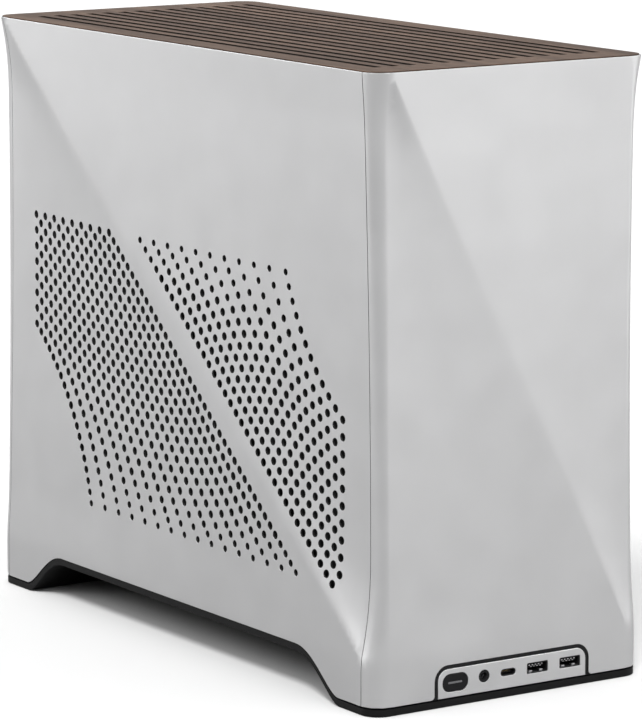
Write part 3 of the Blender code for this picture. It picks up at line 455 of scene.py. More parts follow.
def sheet(name, place, outline, holes=(), inner=(), thick=SKIN, bevel=0.0001, hole_bevel=None, outline_profile=None,
          along=None, wall_shade_paint=None, edge_shade_paint=None):
    """A plate over a curved face: place maps (u, v) to the face, whose front side is where u x v points.

    Outline and holes are anticlockwise loops in (u, v), and inner holds more points that carry the face's curve.
    Depth runs against the face's normal, or in a given direction, along. Every corner's normal is set from the face
    itself or from the wall's profile, so that the many holes leave no trace in the shading. The holes' walls and the
    outline's may each take their own darker paint: painted shade on those walls.
    """
    step = 0.05 * MM

    def frame_at(u, v):
        du = place(u + step, v) - place(u - step, v)
        dv = place(u, v + step) - place(u, v - step)
        return du.cross(dv).normalized(), du.normalized(), dv.normalized()

    def inward(normal):
        return Vector(along) if along else -normal

    hole_profile = edge_profile(bevel if hole_bevel is None else hole_bevel, thick)
    loops = [(outline, 1, outline_profile or edge_profile(bevel, thick), edge_shade_paint)]
    loops += [(hole, -1, hole_profile, wall_shade_paint) for hole in holes]
    flat, faces, rings = [], [], []
    for loop, sign, profile, paint in loops:
        ways = loop_normals(loop, sign)
        first = len(flat)
        flat += [(p[0] + w.x * profile[0][0], p[1] + w.y * profile[0][0]) for p, w in zip(loop, ways)]
        faces.append(list(range(first, len(flat))))
        rings.append((first, loop, ways, sign, profile, paint))
    flat += list(inner)
    cdt = delaunay_2d_cdt([Vector(p) for p in flat], [], faces, 1, 1e-7, True)
    spots, tris, from_verts, from_faces = cdt[0], cdt[2], cdt[3], cdt[5]
    index = {old: new for new, olds in enumerate(from_verts) for old in olds}

    # Front and back share one triangulation: spot k is vertex 2k in front and 2k + 1 behind
    shift = [Vector((0, 0)) for _ in spots]
    for first, loop, ways, sign, profile, paint in rings:
        for k, way in enumerate(ways):
            shift[index[first + k]] = way * (profile[-1][0] - profile[0][0])
    frames = [frame_at(*p) for p in spots]
    verts, polys, normals, walls = [], [], [], []
    for p, (n, _, _), move in zip(spots, frames, shift):
        verts += [place(*p), place(p[0] + move.x, p[1] + move.y) + inward(n) * thick]
    for tri, source in zip(tris, from_faces):
        if list(source) == [0]:
            polys += [[2 * k for k in tri], [2 * k + 1 for k in reversed(tri)]]
            normals += [[frames[k][0] for k in tri], [-frames[k][0] for k in reversed(tri)]]

    for first, loop, ways, sign, profile, paint in rings:
        columns = []
        for k, (point, way) in enumerate(zip(loop, ways)):
            spot = index[first + k]
            n, du, dv = frames[spot]
            toward, down = (du * way.x + dv * way.y).normalized(), inward(n)
            column = [2 * spot]
            for out, deep in profile[1:-1]:
                column.append(len(verts))
                verts.append(place(point[0] + way.x * out, point[1] + way.y * out) + down * deep)
            column.append(2 * spot + 1)
            slopes = [n]
            for (o0, d0), (o1, d1) in zip(profile, profile[1:]):
                slopes.append((toward * (d1 - d0) - down * (o1 - o0)).normalized())
            slopes.append(-n)
            pairs = []
            for j, (before, here, after) in enumerate(zip(slopes, slopes[1:], slopes[2:])):
                upper = here if here.dot(before) < 0.7 else before if j == 0 else here + before
                lower = here + after if here.dot(after) > 0.7 else here
                pairs.append((upper.normalized(), lower.normalized()))
            columns.append((column, pairs))
        for (one, one_n), (two, two_n) in zip(columns, columns[1:] + columns[:1]):
            for j in range(len(one) - 1):
                quad = [one[j], one[j + 1], two[j + 1], two[j]]
                quad_n = [one_n[j][0], one_n[j][1], two_n[j][1], two_n[j][0]]
                if sign < 0:
                    quad.reverse()
                    quad_n.reverse()
                if paint and j == len(one) - 2:
                    walls.append((len(polys), paint))
                polys.append(quad)
                normals.append(quad_n)

    mesh = bpy.data.meshes.new(name)
    mesh.from_pydata([tuple(v) for v in verts], [], polys)
    mesh.update()
    for polygon in mesh.polygons:
        polygon.use_smooth = True
    if walls:
        used = [None] + [paint for paint in (wall_shade_paint, edge_shade_paint) if paint]
        for paint in used:
            mesh.materials.append(paint)
        for wall, paint in walls:
            mesh.polygons[wall].material_index = used.index(paint)
    mesh.normals_split_custom_set([tuple(n) for group in normals for n in group])
    made = bpy.data.objects.new(name, mesh)
    bpy.context.scene.collection.objects.link(made)
    return made


def round_loop(points, radii, steps=5):
    """An anticlockwise polygon with its corners rounded."""
    made = []
    count = len(points)
    for k in range(count):
        here = Vector(points[k])
        before, after = Vector(points[k - 1]) - here, Vector(points[(k + 1) % count]) - here
        radius = radii[k] if isinstance(radii, (list, tuple)) else radii
        if radius <= 0:
            made.append(tuple(here))
            continue
        before.normalize()
        after.normalize()
        half = math.acos(max(-1.0, min(1.0, before.dot(after)))) / 2
        reach = radius / math.tan(half)
        centre = here + (before + after).normalized() * (radius / math.sin(half))
        start, end = here + before * reach - centre, here + after * reach - centre
        turn = math.atan2(start.x * end.y - start.y * end.x, start.dot(end))
        for step in range(steps + 1):
            angle = turn * step / steps
            c, s = math.cos(angle), math.sin(angle)
            made.append((centre.x + start.x * c - start.y * s, centre.y + start.x * s + start.y * c))
    return made


def dense(loop, longest):
    """The same loop with its long edges divided."""
    made = []
    for k, point in enumerate(loop):
        after = loop[(k + 1) % len(loop)]
        parts = max(1, math.ceil(math.dist(point, after) / longest))
        made += [(point[0] + (after[0] - point[0]) * j / parts, point[1] + (after[1] - point[1]) * j / parts)
                 for j in range(parts)]
    return made


def circle(u, v, radius, count):
    return [(u + radius * math.cos(2 * math.pi * k / count), v + radius * math.sin(2 * math.pi * k / count))
            for k in range(count)]


def slot_loop(low, high, radius, steps=4):
    return round_loop([low, (high[0], low[1]), high, (low[0], high[1])], radius, steps)


def inside(loop, u, v):
    odd = False
    for k in range(len(loop)):
        (x0, y0), (x1, y1) = loop[k - 1], loop[k]
        if (y0 > v) != (y1 > v) and u < x0 + (x1 - x0) * (v - y0) / (y1 - y0):
            odd = not odd
    return odd


def fill(outline, spacing, keep_off=(), margin=0.0015, columns=None, rows=None):
    """Points of a square grid inside an outline, off its edge and off round holes given as (u, v, radius)."""
    low = [min(p[k] for p in outline) for k in (0, 1)]
    high = [max(p[k] for p in outline) for k in (0, 1)]
    columns = columns or [low[0] + spacing * (k + 0.5) for k in range(int((high[0] - low[0]) / spacing))]
    rows = rows or [low[1] + spacing * (k + 0.5) for k in range(int((high[1] - low[1]) / spacing))]
    cell, cells = 0.01, {}
    for u, v, radius in keep_off:
        cells.setdefault((int(u / cell), int(v / cell)), []).append((u, v, radius))
    made = []
    for u in columns:
        for v in rows:
            if not all(inside(outline, u + a * margin, v + b * margin) for a, b in ((1, 0), (-1, 0), (0, 1), (0, -1))):
                continue
            near = [h for a in (-1, 0, 1) for b in (-1, 0, 1)
                    for h in cells.get((int(u / cell) + a, int(v / cell) + b), [])]
            if all(math.dist((u, v), h[:2]) > h[2] + margin for h in near):
                made.append((u, v))
    return made


# Perforation of the side panels: two groups of rows, one on each side of the ridge. Each row runs parallel to the
# ridge and bends down at its far end, and the end rows bend the most.


def bent_row(start, bend, end, ease, from_start):
    """A row's line as closely set points: curved at its start and then straight, or the other way round."""
    straight = Vector(end if from_start else start)
    curved = Vector(start if from_start else end)
    bend = Vector(bend)
    way = straight - bend
    leave = bend + way.normalized() * min(ease, way.length * 0.98)
    line = [curved.lerp(bend, t / 40).lerp(bend.lerp(leave, t / 40), t / 40) for t in range(41)]
    line.append(straight)
    if not from_start:
        line.reverse()
    return line


def walk(line, distance):
    for a, b in zip(line, line[1:]):
        length = (b - a).length
        if distance <= length:
            return a.lerp(b, distance / length)
        distance -= length
    return line[-1]


def spaced(line, pitch, at_start):
    """Places along a row at an even pitch. The three gaps at one end take up what is left over."""
    length = sum((b - a).length for a, b in zip(line, line[1:]))
    gaps = round(length / pitch)
    loose = (length - (gaps - 3) * pitch) / 3
    sizes = [loose] * 3 + [pitch] * (gaps - 3) if at_start else [pitch] * (gaps - 3) + [loose] * 3
    places, travelled = [walk(line, 0.0)], 0.0
    for size in sizes:
        travelled += size
        places.append(walk(line, min(travelled, length)))
    return places


def fall(degrees):
    return Vector((-math.cos(math.radians(degrees)), -math.sin(math.radians(degrees))))


def row_of_holes(line, pitch, at_start, full, small):
    """Holes along one row as (y, z, radius). Those at its crowded end are smaller."""
    places = spaced(line, pitch, at_start)
    made = []
    for k, place in enumerate(places):
        rank = k if at_start else len(places) - 1 - k
        made.append((place.x * MM, place.y * MM, (small[rank] if rank < len(small) else full) * MM))
    return made


def perforation():
    """Every hole of the left panel as (y, z, radius). Rows are laid out in millimetres."""
    top, bottom, pitch_z = 208.9, 60.4, 8.53
    holes = []
    for n in range(16):
        start = Vector((62.9 + 10.3 * n, top)) if n <= 8 else Vector((145.2, top - pitch_z * (n - 8)))
        end = Vector((-115.6 + 13.2 * n + 0.6 * max(0, n - 12) ** 1.4, bottom))
        bend = end - fall(40 + 1.6 * n + 0.05 * n * n) * 53
        pitch = 6.11 + 0.70 * (1 - math.exp(-n / 2.7)) - 0.74 * math.exp((n - 15) / 0.95)
        holes += row_of_holes(bent_row(start, bend, end, 52, False), pitch, False, 2.21, (1.78, 1.88, 2.00, 2.11))
    for n in range(11):
        start = Vector((31.1 - 13.2 * n - 2.0 * (n / 10) ** 8, top))
        end = Vector((-146.1, 60.2)) if n == 0 else Vector((-150.7, 65.5 + pitch_z * (n - 1)))
        bend = start + fall(40 + 1.9 * n + 0.11 * n * n) * 43
        pitch = min(6.58 + 0.13 * n + 0.0095 * n * n, 8.1) - 0.52 * math.exp((n - 10) / 0.5)
        holes += row_of_holes(bent_row(start, bend, end, 40, True), pitch, True, 2.17, (1.76, 1.84, 1.91, 2.00))
    return holes


def ridge_points(outline, keep_off, to_u, beside):
    """Points along a ridge and beside it, where the face curves the most. to_u gives u from the share of the way."""
    made = []
    for step in range(1, 100):
        share = step / 100
        for offset in [-b for b in reversed(beside)] + [0.0] + list(beside):
            u, v = to_u(share), RIM_Z - (RIM_Z - SKIRT_Z) * share + offset
            if inside(outline, u, v + 0.001) and inside(outline, u, v - 0.001):
                if all(abs(u - h[0]) > 0.003 or abs(v - h[1]) > 0.003 for h in keep_off):
                    made.append((u, v))
    return made


def arch_z(y, top, foot):
    """Height of the arch at a distance from the middle."""
    share = min(1.0, max(0.0, (ARCH_FOOT - abs(y)) / (ARCH_FOOT - ARCH_FLAT)))
    return foot + (top - foot) * math.sin(share ** 0.78 * math.pi / 2) ** 2


def side_outline():
    """Outline of a side panel in (y, z), with the arch cut from its lower edge."""
    end = SEAM_Y - GAP / 2
    foot = SKIN_BOTTOM
    arch = []
    steps = 28
    for k in range(steps + 1):
        y = -ARCH_FOOT + (ARCH_FOOT - ARCH_FLAT) * k / steps
        arch.append((y, max(foot, arch_z(y, ARCH_TOP, foot))))
    arch += [(-y, z) for y, z in reversed(arch)]
    corners = round_loop([(-end, foot), (end, foot), (end, RIM_Z), (-end, RIM_Z)], 0.0004, 3)
    return dense(corners[:4] + arch + corners[4:], 0.006)


def flipped(loop):
    """A loop of a face that looks towards -X, where u runs against y."""
    return [(-y, z) for y, z in reversed(loop)]


def side_panels():
    holes = perforation()
    outline = side_outline()
    loops = [circle(y, z, radius, 14) for y, z, radius in holes]
    extra = fill(outline, 0.0075, holes)
    extra += ridge_points(outline, holes, lambda s: REACH - 2 * REACH * s, (0.0023, 0.0048, 0.0075, 0.011))
    loops = [flipped(loop) for loop in loops]
    extra = [(-y, z) for y, z in extra]
    for side, place in (("left", lambda u, v: side_point(-u, v)), ("right", lambda u, v: turned(side_point(-u, v)))):
        # The holes' walls take the black liner paint and the edge faces the dark edge paint: painted shade
        made = sheet(f"side_shell_{side}", place, flipped(outline), loops, extra, hole_bevel=0.00006,
                     wall_shade_paint=accents["liner"], edge_shade_paint=accents["sheet_edge_shade"])
        piece(made, f"{side}_side", "anodised_case", [f"side_panel_{side}"])


def front_outline():
    """Outline of the front panel in (u, z), with the notch for the port plate and its flared feet."""
    edge = BEZEL + GAP
    left, right = ARC + FLAT + PLATE_X[0] - edge, ARC + FLAT + PLATE_X[1] + edge
    top = PLATE_TOP + edge
    points = [(0, SKIN_BOTTOM), (left, SKIN_BOTTOM), (left, top), (right, top), (right, SKIN_BOTTOM),
              (WRAP, SKIN_BOTTOM), (WRAP, RIM_Z), (0, RIM_Z)]
    radii = [0.0004, 0.0019, 0.0079, 0.0079, 0.0019, 0.0004, 0.0004, 0.0004]
    return dense(round_loop(points, radii, 8), 0.006)


def wrap_columns():
    arcs = [ARC * k / 9 for k in range(1, 9)]
    return arcs + [ARC + 2 * FLAT * k / 20 for k in range(21)] + [WRAP - a for a in reversed(arcs)]


def wrap_panels():
    rows = [SKIN_BOTTOM + 0.003 + 0.0075 * k for k in range(41)]
    outline = front_outline()
    extra = fill(outline, 0.0075, margin=0.001, columns=wrap_columns(), rows=rows)
    ridge = ridge_points(outline, (), lambda s: ARC + 2 * FLAT * s, (0.003, 0.006, 0.009, 0.013))
    # The wrap's edge faces take the dark edge paint: painted shade
    made = sheet("front_shell", lambda u, v: wrap_point(u, v, FRONT_PINCH), outline, (), extra + ridge,
                 edge_shade_paint=accents["sheet_edge_shade"])
    piece(made, "front_cover", "anodised_case", ["front_panel"])
    outline = dense(slot_loop((0, SKIN_BOTTOM), (WRAP, RIM_Z), 0.0004), 0.006)
    middle = ARC + FLAT
    opening = dense(slot_loop((middle - 0.066, 0.036), (middle + 0.066, 0.292), 0.006), 0.008)
    clear = slot_loop((middle - 0.068, 0.034), (middle + 0.068, 0.294), 0.006)
    extra = [p for p in fill(outline, 0.0075, margin=0.001, columns=wrap_columns(), rows=rows)
             if not inside(clear, *p)]
    made = sheet("rear_shell", lambda u, v: turned(wrap_point(u, v, REAR_PINCH)), outline, [opening], extra,
                 edge_shade_paint=accents["sheet_edge_shade"])
    piece(made, "chassis", "anodised_case", ["rear_panel"])


# Base


def base_shell():
    half = (WIDTH / 2 - 0.0004, LENGTH / 2 - 0.0004)
    lower = ARCH_TOP - CLEAR - BASE_THICK
    outline = dense(slot_loop((-half[0], -half[1]), half, CORNER - 0.001, 8), 0.0025)
    holes = [circle(0.0, y, FAN_HOLE, 72) for y in FAN_Y]
    columns = [-0.075 + 0.01 * k for k in range(16)]
    rows = [sign * (0.1 + 0.002 * k) for k in range(32) for sign in (-1, 1)] + [0.01 * k for k in range(-9, 10)]
    extra = fill(outline, 0.01, columns=columns, rows=rows)
    keep = [p for p in extra if min(math.dist(p, (0.0, y)) for y in FAN_Y) > FAN_HOLE + 0.0015]
    # Seen from below: u runs against x, so that the face looks down
    made = sheet("base_shell", lambda u, v: Vector((-u, v, arch_z(v, lower, BASE_BOTTOM))), outline, holes, keep,
                 thick=BASE_THICK, bevel=0.0005, hole_bevel=0.0006, along=(0, 0, 1))
    piece(made, "chassis", "black_base", ["base_tray"])


# Slatted top


def slatted_top():
    # A thin lip lies on the metal's rim; the board below it fits inside the rim
    half = (WIDTH / 2 - BOARD_INSET, LENGTH / 2 - BOARD_INSET)
    outline = slot_loop((-half[0], -half[1]), half, CORNER - BOARD_INSET, 8)
    profile = edge_profile(0.0001, LIP) + [(-0.0011, LIP), (-0.0011, 0.003), (-0.0071, 0.003), (-0.0071, BOARD_THICK)]
    slots = []
    for number in range(SLOTS):
        x = (number - (SLOTS - 1) / 2) * SLOT_PITCH
        slots.append(slot_loop((x - SLOT_HALF, SLOT_ENDS[0]), (x + SLOT_HALF, SLOT_ENDS[1]), 0.0007, 3))
    # The slots' walls and the board's edge take the near-black walnut: painted shade
    made = sheet("walnut_top", lambda u, v: Vector((u, v, HEIGHT)), outline, slots, thick=BOARD_THICK,
                 outline_profile=profile, wall_shade_paint=accents["slot_shade"], edge_shade_paint=accents["slot_shade"])
    piece(made, "top_cover", "walnut", ["top_panel"])


# Port plate


def port_path(grow):
    """Outline of the plate, grown on all sides but the lowest: from the lower right over the top to the lower left."""
    left, right, top, radius = PLATE_X[0] - grow, PLATE_X[1] + grow, PLATE_TOP + grow, 0.0058 + grow
    corners = [(right, SKIN_BOTTOM), (right, top), (left, top), (left, SKIN_BOTTOM)]
    return round_loop(corners, [0, radius, radius, 0], 8)


def behind_face(depth):
    """Places a sheet upright at a depth behind the front's plane."""
    return lambda u, v: Vector((u, FACE + depth, v))


def port_hole(x, wide, tall, radius, steps):
    """A loop round a port's middle, from half its width and half its height."""
    return slot_loop((x - wide, PORT_Z - tall), (x + wide, PORT_Z + tall), radius, steps)


def port_plate():
    holes = [slot_loop((-0.04095, 0.0074), (-0.02555, 0.01665), 0.0043, 6), circle(JACK_X, PORT_Z, 0.00325, 28),
             port_hole(USB_C_X, 0.0046, 0.00185, 0.0018, 6)]
    holes += [port_hole(x, 0.00645, 0.0028, 0.0007, 3) for x in USB_A_X]
    made = sheet("port_plate", behind_face(0.0), dense(port_path(0.0), 0.01), holes, thick=0.0016, bevel=0.0002,
                 hole_bevel=0.0001)
    piece(made, "chassis", "port_plate", ["io_plate"])
    outer, inner = port_path(BEZEL), port_path(GAP * 0.5)
    flare, foot, steps = 0.0017, SKIN_BOTTOM - 0.0002, 6
    right, left = outer[0][0], outer[-1][0]
    turns = [math.pi / 2 * k / steps for k in range(steps + 1)]
    flare_right = [(right + flare - flare * math.sin(turn), foot + flare * (1 - math.cos(turn))) for turn in turns]
    flare_left = [(left - (x - right), z) for x, z in reversed(flare_right)]
    loop = flare_right + outer[1:-1] + flare_left + [(inner[-1][0], foot)] + inner[1:-1][::-1] + [(inner[0][0], foot)]
    made = sheet("port_bezel", behind_face(0.0002), loop, thick=0.0028, bevel=0.0002)
    piece(made, "chassis", "port_black", ["io_bezel"])


# Blocks, turned parts, leads and rotors, in millimetres


def block(bm, low, high, bevel):
    """A box with rounded edges."""
    size = [(b - a) * MM for a, b in zip(low, high)]
    centre = [(a + b) / 2 * MM for a, b in zip(low, high)]
    made = bmesh.ops.create_cube(bm, size=1.0, matrix=Matrix.Translation(centre) @ Matrix.Diagonal((*size, 1.0)))
    edges = list({edge for vert in made["verts"] for edge in vert.link_edges})
    bmesh.ops.bevel(bm, geom=edges, offset=min(bevel * MM, 0.3 * min(size)), segments=2, profile=0.6, affect="EDGES")


def lathe(bm, profile, centre, axis, steps=32, knurl=0.0, closed=False):
    """Turns (radius, along) steps about an axis. A radius of 0 closes an end, and knurl raises every other step."""
    place = Matrix.Translation([c * MM for c in centre]) @ turn_to(axis)
    widest = max(radius for radius, _ in profile)
    rings = []
    for radius, along in profile:
        ring = []
        for k in range(steps if radius else 1):
            angle = 2 * math.pi * k / steps
            reach = radius * (1 - knurl * (k % 2)) if radius > 0.9 * widest else radius
            ring.append(bm.verts.new(place @ (Vector((reach * math.cos(angle), reach * math.sin(angle), along)) * MM)))
        rings.append(ring)
    for one, two in zip(rings, rings[1:] + (rings[:1] if closed else [])):
        for k in range(steps):
            after = (k + 1) % steps
            corners = [one[k % len(one)], one[after % len(one)], two[after % len(two)], two[k % len(two)]]
            bm.faces.new(list(dict.fromkeys(corners)))


def turn_to(axis):
    return Vector((0, 0, 1)).rotation_difference(Vector(axis)).to_matrix().to_4x4()


def build(name, slot, blocks=(), turned_parts=(), replaced=(), paint=None, bevel=0.3, body="chassis"):
    """One piece made of blocks (low, high) and of turned parts (profile, centre, axis, options)."""
    bm = bmesh.new()
    for low, high in blocks:
        block(bm, low, high, bevel)
    for profile, centre, axis, *options in turned_parts:
        lathe(bm, profile, centre, axis, **(options[0] if options else {}))
    bmesh.ops.recalc_face_normals(bm, faces=bm.faces)
    return piece(to_object(name, bm), body, slot, replaced, paint)


def leads(name, slot, routes, radius, replaced=()):
    """Round leads, each one smooth line that its points draw towards them."""
    curve = bpy.data.curves.new(name, "CURVE")
    curve.dimensions = "3D"
    curve.bevel_depth = radius * MM
    curve.bevel_resolution = 3
    curve.use_fill_caps = True
    for route in routes:
        spline = curve.splines.new("NURBS")
        spline.points.add(len(route) - 1)
        for control, point in zip(spline.points, route):
            control.co = (*[c * MM for c in point], 1.0)
        spline.order_u = 4
        spline.use_endpoint_u = True
        spline.resolution_u = 6
    made = bpy.data.objects.new(name, curve)
    bpy.context.scene.collection.objects.link(made)
    return piece(made, "chassis", slot, replaced)


def rotor(name, body, node, axis, count, sweep=0.45):
    """Fan rotor in the room of its CAD node: a dished hub and thin blades that are swept, twisted and cambered."""
    low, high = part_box(node)
    size = (high - low) / MM
    tip = max(s for s, a in zip(size, axis) if not a) / 2
    depth = next(s for s, a in zip(size, axis) if a)
    centre = (low + high) / 2 / MM
    hub, half = 0.36 * tip, depth / 2
    bm = bmesh.new()
    lathe(bm, [(0, half - 0.9), (hub * 0.55, half - 0.9), (hub * 0.62, half - 0.4), (hub * 0.9, half - 0.1),
               (hub, half - 0.9), (hub, -half + 0.4), (hub * 0.94, -half), (0, -half)], centre, axis, 40)
    place = Matrix.Translation(centre * MM) @ turn_to(axis)
    outward, chord = 8, 8
    for number in range(count):
        sides = []
        for face in (1, -1):
            grid = []
            for i in range(outward + 1):
                out = i / outward
                radius = hub * 0.95 + (tip - hub * 0.95) * out
                extent = 2 * math.pi / count * (0.98 - 0.10 * out)
                row = []
                for j in range(chord + 1):
                    along = j / chord
                    angle = 2 * math.pi * number / count + sweep * out ** 1.6 + extent * (along - 0.5)
                    edge = math.sqrt(max(0.0, 1 - (2 * along - 1) ** 4))
                    rise = (half - 0.8) * (1 - 2 * along) * (1 - 0.28 * out) + 0.16 * depth * math.sin(math.pi * along)
                    height = rise + face * (0.12 + 0.5 * edge * (1 - 0.5 * out))
                    height = max(-half, min(half, height))
                    spot = Vector((radius * math.cos(angle), radius * math.sin(angle), height))
                    row.append(bm.verts.new(place @ (spot * MM)))
                grid.append(row)
            sides.append(grid)
            for i in range(outward):
                for j in range(chord):
                    bm.faces.new((grid[i][j], grid[i + 1][j], grid[i + 1][j + 1], grid[i][j + 1]))
        over, under = sides
        rim = [(i, 0) for i in range(outward)] + [(outward, j) for j in range(chord)]
        rim += [(outward - i, chord) for i in range(outward)] + [(0, chord - j) for j in range(chord)]
        for (i, j), (m, n) in zip(rim, rim[1:] + rim[:1]):
            bm.faces.new((over[i][j], over[m][n], under[m][n], under[i][j]))
    bmesh.ops.recalc_face_normals(bm, faces=bm.faces)
    return piece(to_object(name, bm), body, "fan_blades", [node])


# Ports on the front


def ports():
    button = slot_loop((-0.0408, 0.00755), (-0.0257, 0.0165), 0.0042, 7)
    seat = slot_loop((-0.0376, 0.0114), (-0.0289, 0.0126), 0.00055, 3)
    made = sheet("button_cap", behind_face(0.0), button, [seat], thick=0.0058, bevel=0.00045, hole_bevel=0.0001)
    piece(made, "button", "button_black", ["power_button"])
    dash = slot_loop((-0.03745, 0.01155), (-0.02905, 0.01245), 0.00042, 3)
    made = sheet("button_dash", behind_face(0.00008), dash, thick=0.0007, bevel=0.00008)
    piece(made, "button", "indicator", ["power_light"])

    z, front = PORT_Z / MM, FACE / MM
    for number, middle in enumerate(USB_A_X, 1):
        outer, inner = port_hole(middle, 0.00635, 0.0027, 0.0006, 3), port_hole(middle, 0.0059, 0.00225, 0.0004, 3)
        made = sheet(f"usb_a_sleeve_{number}", behind_face(0.0003), outer, [inner], thick=0.0134)
        piece(made, "chassis", "socket_steel", [f"usb_a_shell_{number}"])
        x = middle / MM
        tongue = ((x - 4.95, front + 1.8, z + 0.1), (x + 4.95, front + 12.4, z + 1.5))
        back = ((x - 5.9, front + 12.6, z - 2.25), (x + 5.9, front + 13.6, z + 2.25))
        build(f"usb_a_insert_{number}", "port_black", [tongue, back], replaced=[f"usb_a_tongue_{number}"], bevel=0.15)
        marks = [((x + s - 0.42, front + 1.62, z + 0.95), (x + s + 0.42, front + 2.0, z + 1.42))
                 for s in (-3.8, -1.9, 0, 1.9, 3.8)]
        marks += [((x + s - 0.4, front + 1.62, z + 0.2), (x + s + 0.4, front + 7.0, z + 0.55))
                  for s in (-2.85, -0.95, 0.95, 2.85)]
        build(f"usb_a_contacts_{number}", "socket_steel", marks, paint=accents["tin"], bevel=0.06)
        tabs = [((x + s - 1.0, front + 1.5, z - 2.2), (x + s + 1.0, front + 3.4, z - 1.55)) for s in (-3.25, 3.25)]
        build(f"usb_a_springs_{number}", "socket_steel", tabs, paint=accents["tin"], bevel=0.15)

    outer, inner = port_hole(USB_C_X, 0.0045, 0.00175, 0.0017, 7), port_hole(USB_C_X, 0.0041, 0.00135, 0.00132, 7)
    made = sheet("usb_c_sleeve", behind_face(0.0002), outer, [inner], thick=0.0070)
    piece(made, "chassis", "socket_steel", ["usb_c_shell"])
    x = USB_C_X / MM
    inserts = [((x - 3.2, front + 1.6, z - 0.35), (x + 3.2, front + 5.9, z + 0.35)),
               ((x - 4.0, front + 5.9, z - 1.3), (x + 4.0, front + 6.9, z + 1.3))]
    build("usb_c_insert", "port_black", inserts, replaced=["usb_c_tongue"], bevel=0.15)
    pins = [((x + 0.5 * k - 0.12, front + 1.9, z - 0.42), (x + 0.5 * k + 0.12, front + 5.0, z + 0.42))
            for k in range(-5, 6)]
    build("usb_c_contacts", "socket_steel", pins, paint=accents["gold"], bevel=0.03)

    way = (JACK_X / MM, front, z), (0, 1, 0)
    ring = [(1.76, 12.4), (1.76, 0.5), (1.95, 0.15), (2.95, 0.1), (3.15, 0.4), (3.15, 12.4)]
    build("jack_ring", "port_black", turned_parts=[(ring, *way, {"closed": True, "steps": 40})],
          replaced=["audio_jack"])
    contact = [(1.74, 3.0), (1.55, 3.3), (1.55, 4.2), (1.74, 4.5)]
    build("jack_contact", "socket_steel", turned_parts=[(contact, *way, {"closed": True})], paint=accents["tin"])


# Inner frame


def grid_of_holes(low, high, pitch, radius, keep_off=()):
    """Round vents in staggered rows, clear of the rectangles in keep_off. Millimetres in, metres out."""
    made = []
    row, z, off = 0, low[1], 2 * radius
    while z <= high[1]:
        u = low[0] + (pitch / 2 if row % 2 else 0)
        while u <= high[0]:
            if not any(a[0] - off < u < b[0] + off and a[1] - off < z < b[1] + off for a, b in keep_off):
                made.append(circle(u * MM, z * MM, radius * MM, 10))
            u += pitch
        z += pitch * math.sqrt(3) / 2
        row += 1
    return made


def window(low, high, radius=1.0):
    return slot_loop([c * MM for c in low], [c * MM for c in high], radius * MM, 3)


def frame_plates():
    """Bulkhead and rear plate with their vents, each with the folded edges of its CAD node."""
    outline = dense(window((-68, 26), (68, 297), 1.5), 0.012)
    cable_slots = [window((-58, 36), (-20, 50), 4), window((20, 36), (58, 50), 4)]
    vents = grid_of_holes((-60, 62), (60, 290), 7.2, 2.5, [((-68, 168), (68, 172))])
    made = sheet("bulkhead_sheet", lambda u, v: Vector((u, -0.1715, v)), outline, cable_slots + vents)
    piece(made, "chassis", "black_steel", ["front_bulkhead"])
    folds = [((s * 67.4 - 0.6, -170.6, 26.5), (s * 67.4 + 0.6, -160, 296.5)) for s in (-1, 1)]
    folds += [((s * 67.4 - 0.6, 160, 26.5), (s * 67.4 + 0.6, 165.3, 296.5)) for s in (-1, 1)]
    build("frame_folds", "black_steel", folds, replaced=["front_bulkhead", "rear_plate"], bevel=0.2)

    # Seen from the rear: u runs against x
    openings = [((-35.5, 110.7), (9.6, 269.3)), ((25.2, 75.7), (65.3, 196.3)), ((-56.3, 51.7), (-27.7, 72.3))]
    screws = [((52, 280), (64, 292)), ((-64, 280), (-52, 292)), ((39, 197), (51, 208))]
    vents = grid_of_holes((-62, 36), (62, 290), 5.4, 1.85, openings + screws)
    made = sheet("rear_sheet", lambda u, v: Vector((-u, 0.1662, v)), outline,
                 [window(a, b, 0.6) for a, b in openings] + vents)
    piece(made, "chassis", "black_steel", ["rear_plate"])


def studs_and_clips():
    """Ball studs inside the pull-off panels, and the spring clips on the frame that hold them."""
    ball = [(0, 0), (1.3, 0.35), (1.9, 1.3), (1.8, 2.2), (1.15, 3.1), (1.15, 4.3), (2.0, 4.6), (2.0, 5.8), (0, 5.8)]
    reach = 6.7
    clips = []
    for side, sign in (("left", -1), ("right", 1)):
        balls = []
        for y in (-160, 158):
            for z in (45, 285):
                face = side_point(-sign * y * MM, z * MM).x / -MM
                balls.append((ball, (sign * (face - reach), y, z), (sign, 0, 0), {"steps": 20}))
                inner = max(73.4, face - reach)
                for near, far in ((-4.2, -2.6), (2.6, 4.2)):
                    clips.append(((sign * 68 - 0.2, y + near, z - 4.2), (sign * (inner - 1.2), y + far, z + 4.2)))
        build(f"side_studs_{side}", "shield_steel", turned_parts=balls, body=f"{side}_side")
    balls = []
    for x in (-62, 62):
        for z in (60, 284):
            face = wrap_point(ARC + FLAT + x * MM, z * MM, FRONT_PINCH).y / MM
            balls.append((ball, (x, face + reach, z), (0, -1, 0), {"steps": 20}))
            for near, far in ((-4.2, -2.6), (2.6, 4.2)):
                clips.append(((x + near, face + reach - 1.5, z - 4.2), (x + far, -171.3, z + 4.2)))
    build("front_studs", "shield_steel", turned_parts=balls, body="front_cover")
    clips = [(tuple(min(a, b) for a, b in zip(*pair)), tuple(max(a, b) for a, b in zip(*pair))) for pair in clips]
    build("panel_clips", "shield_steel", clips, bevel=0.3)


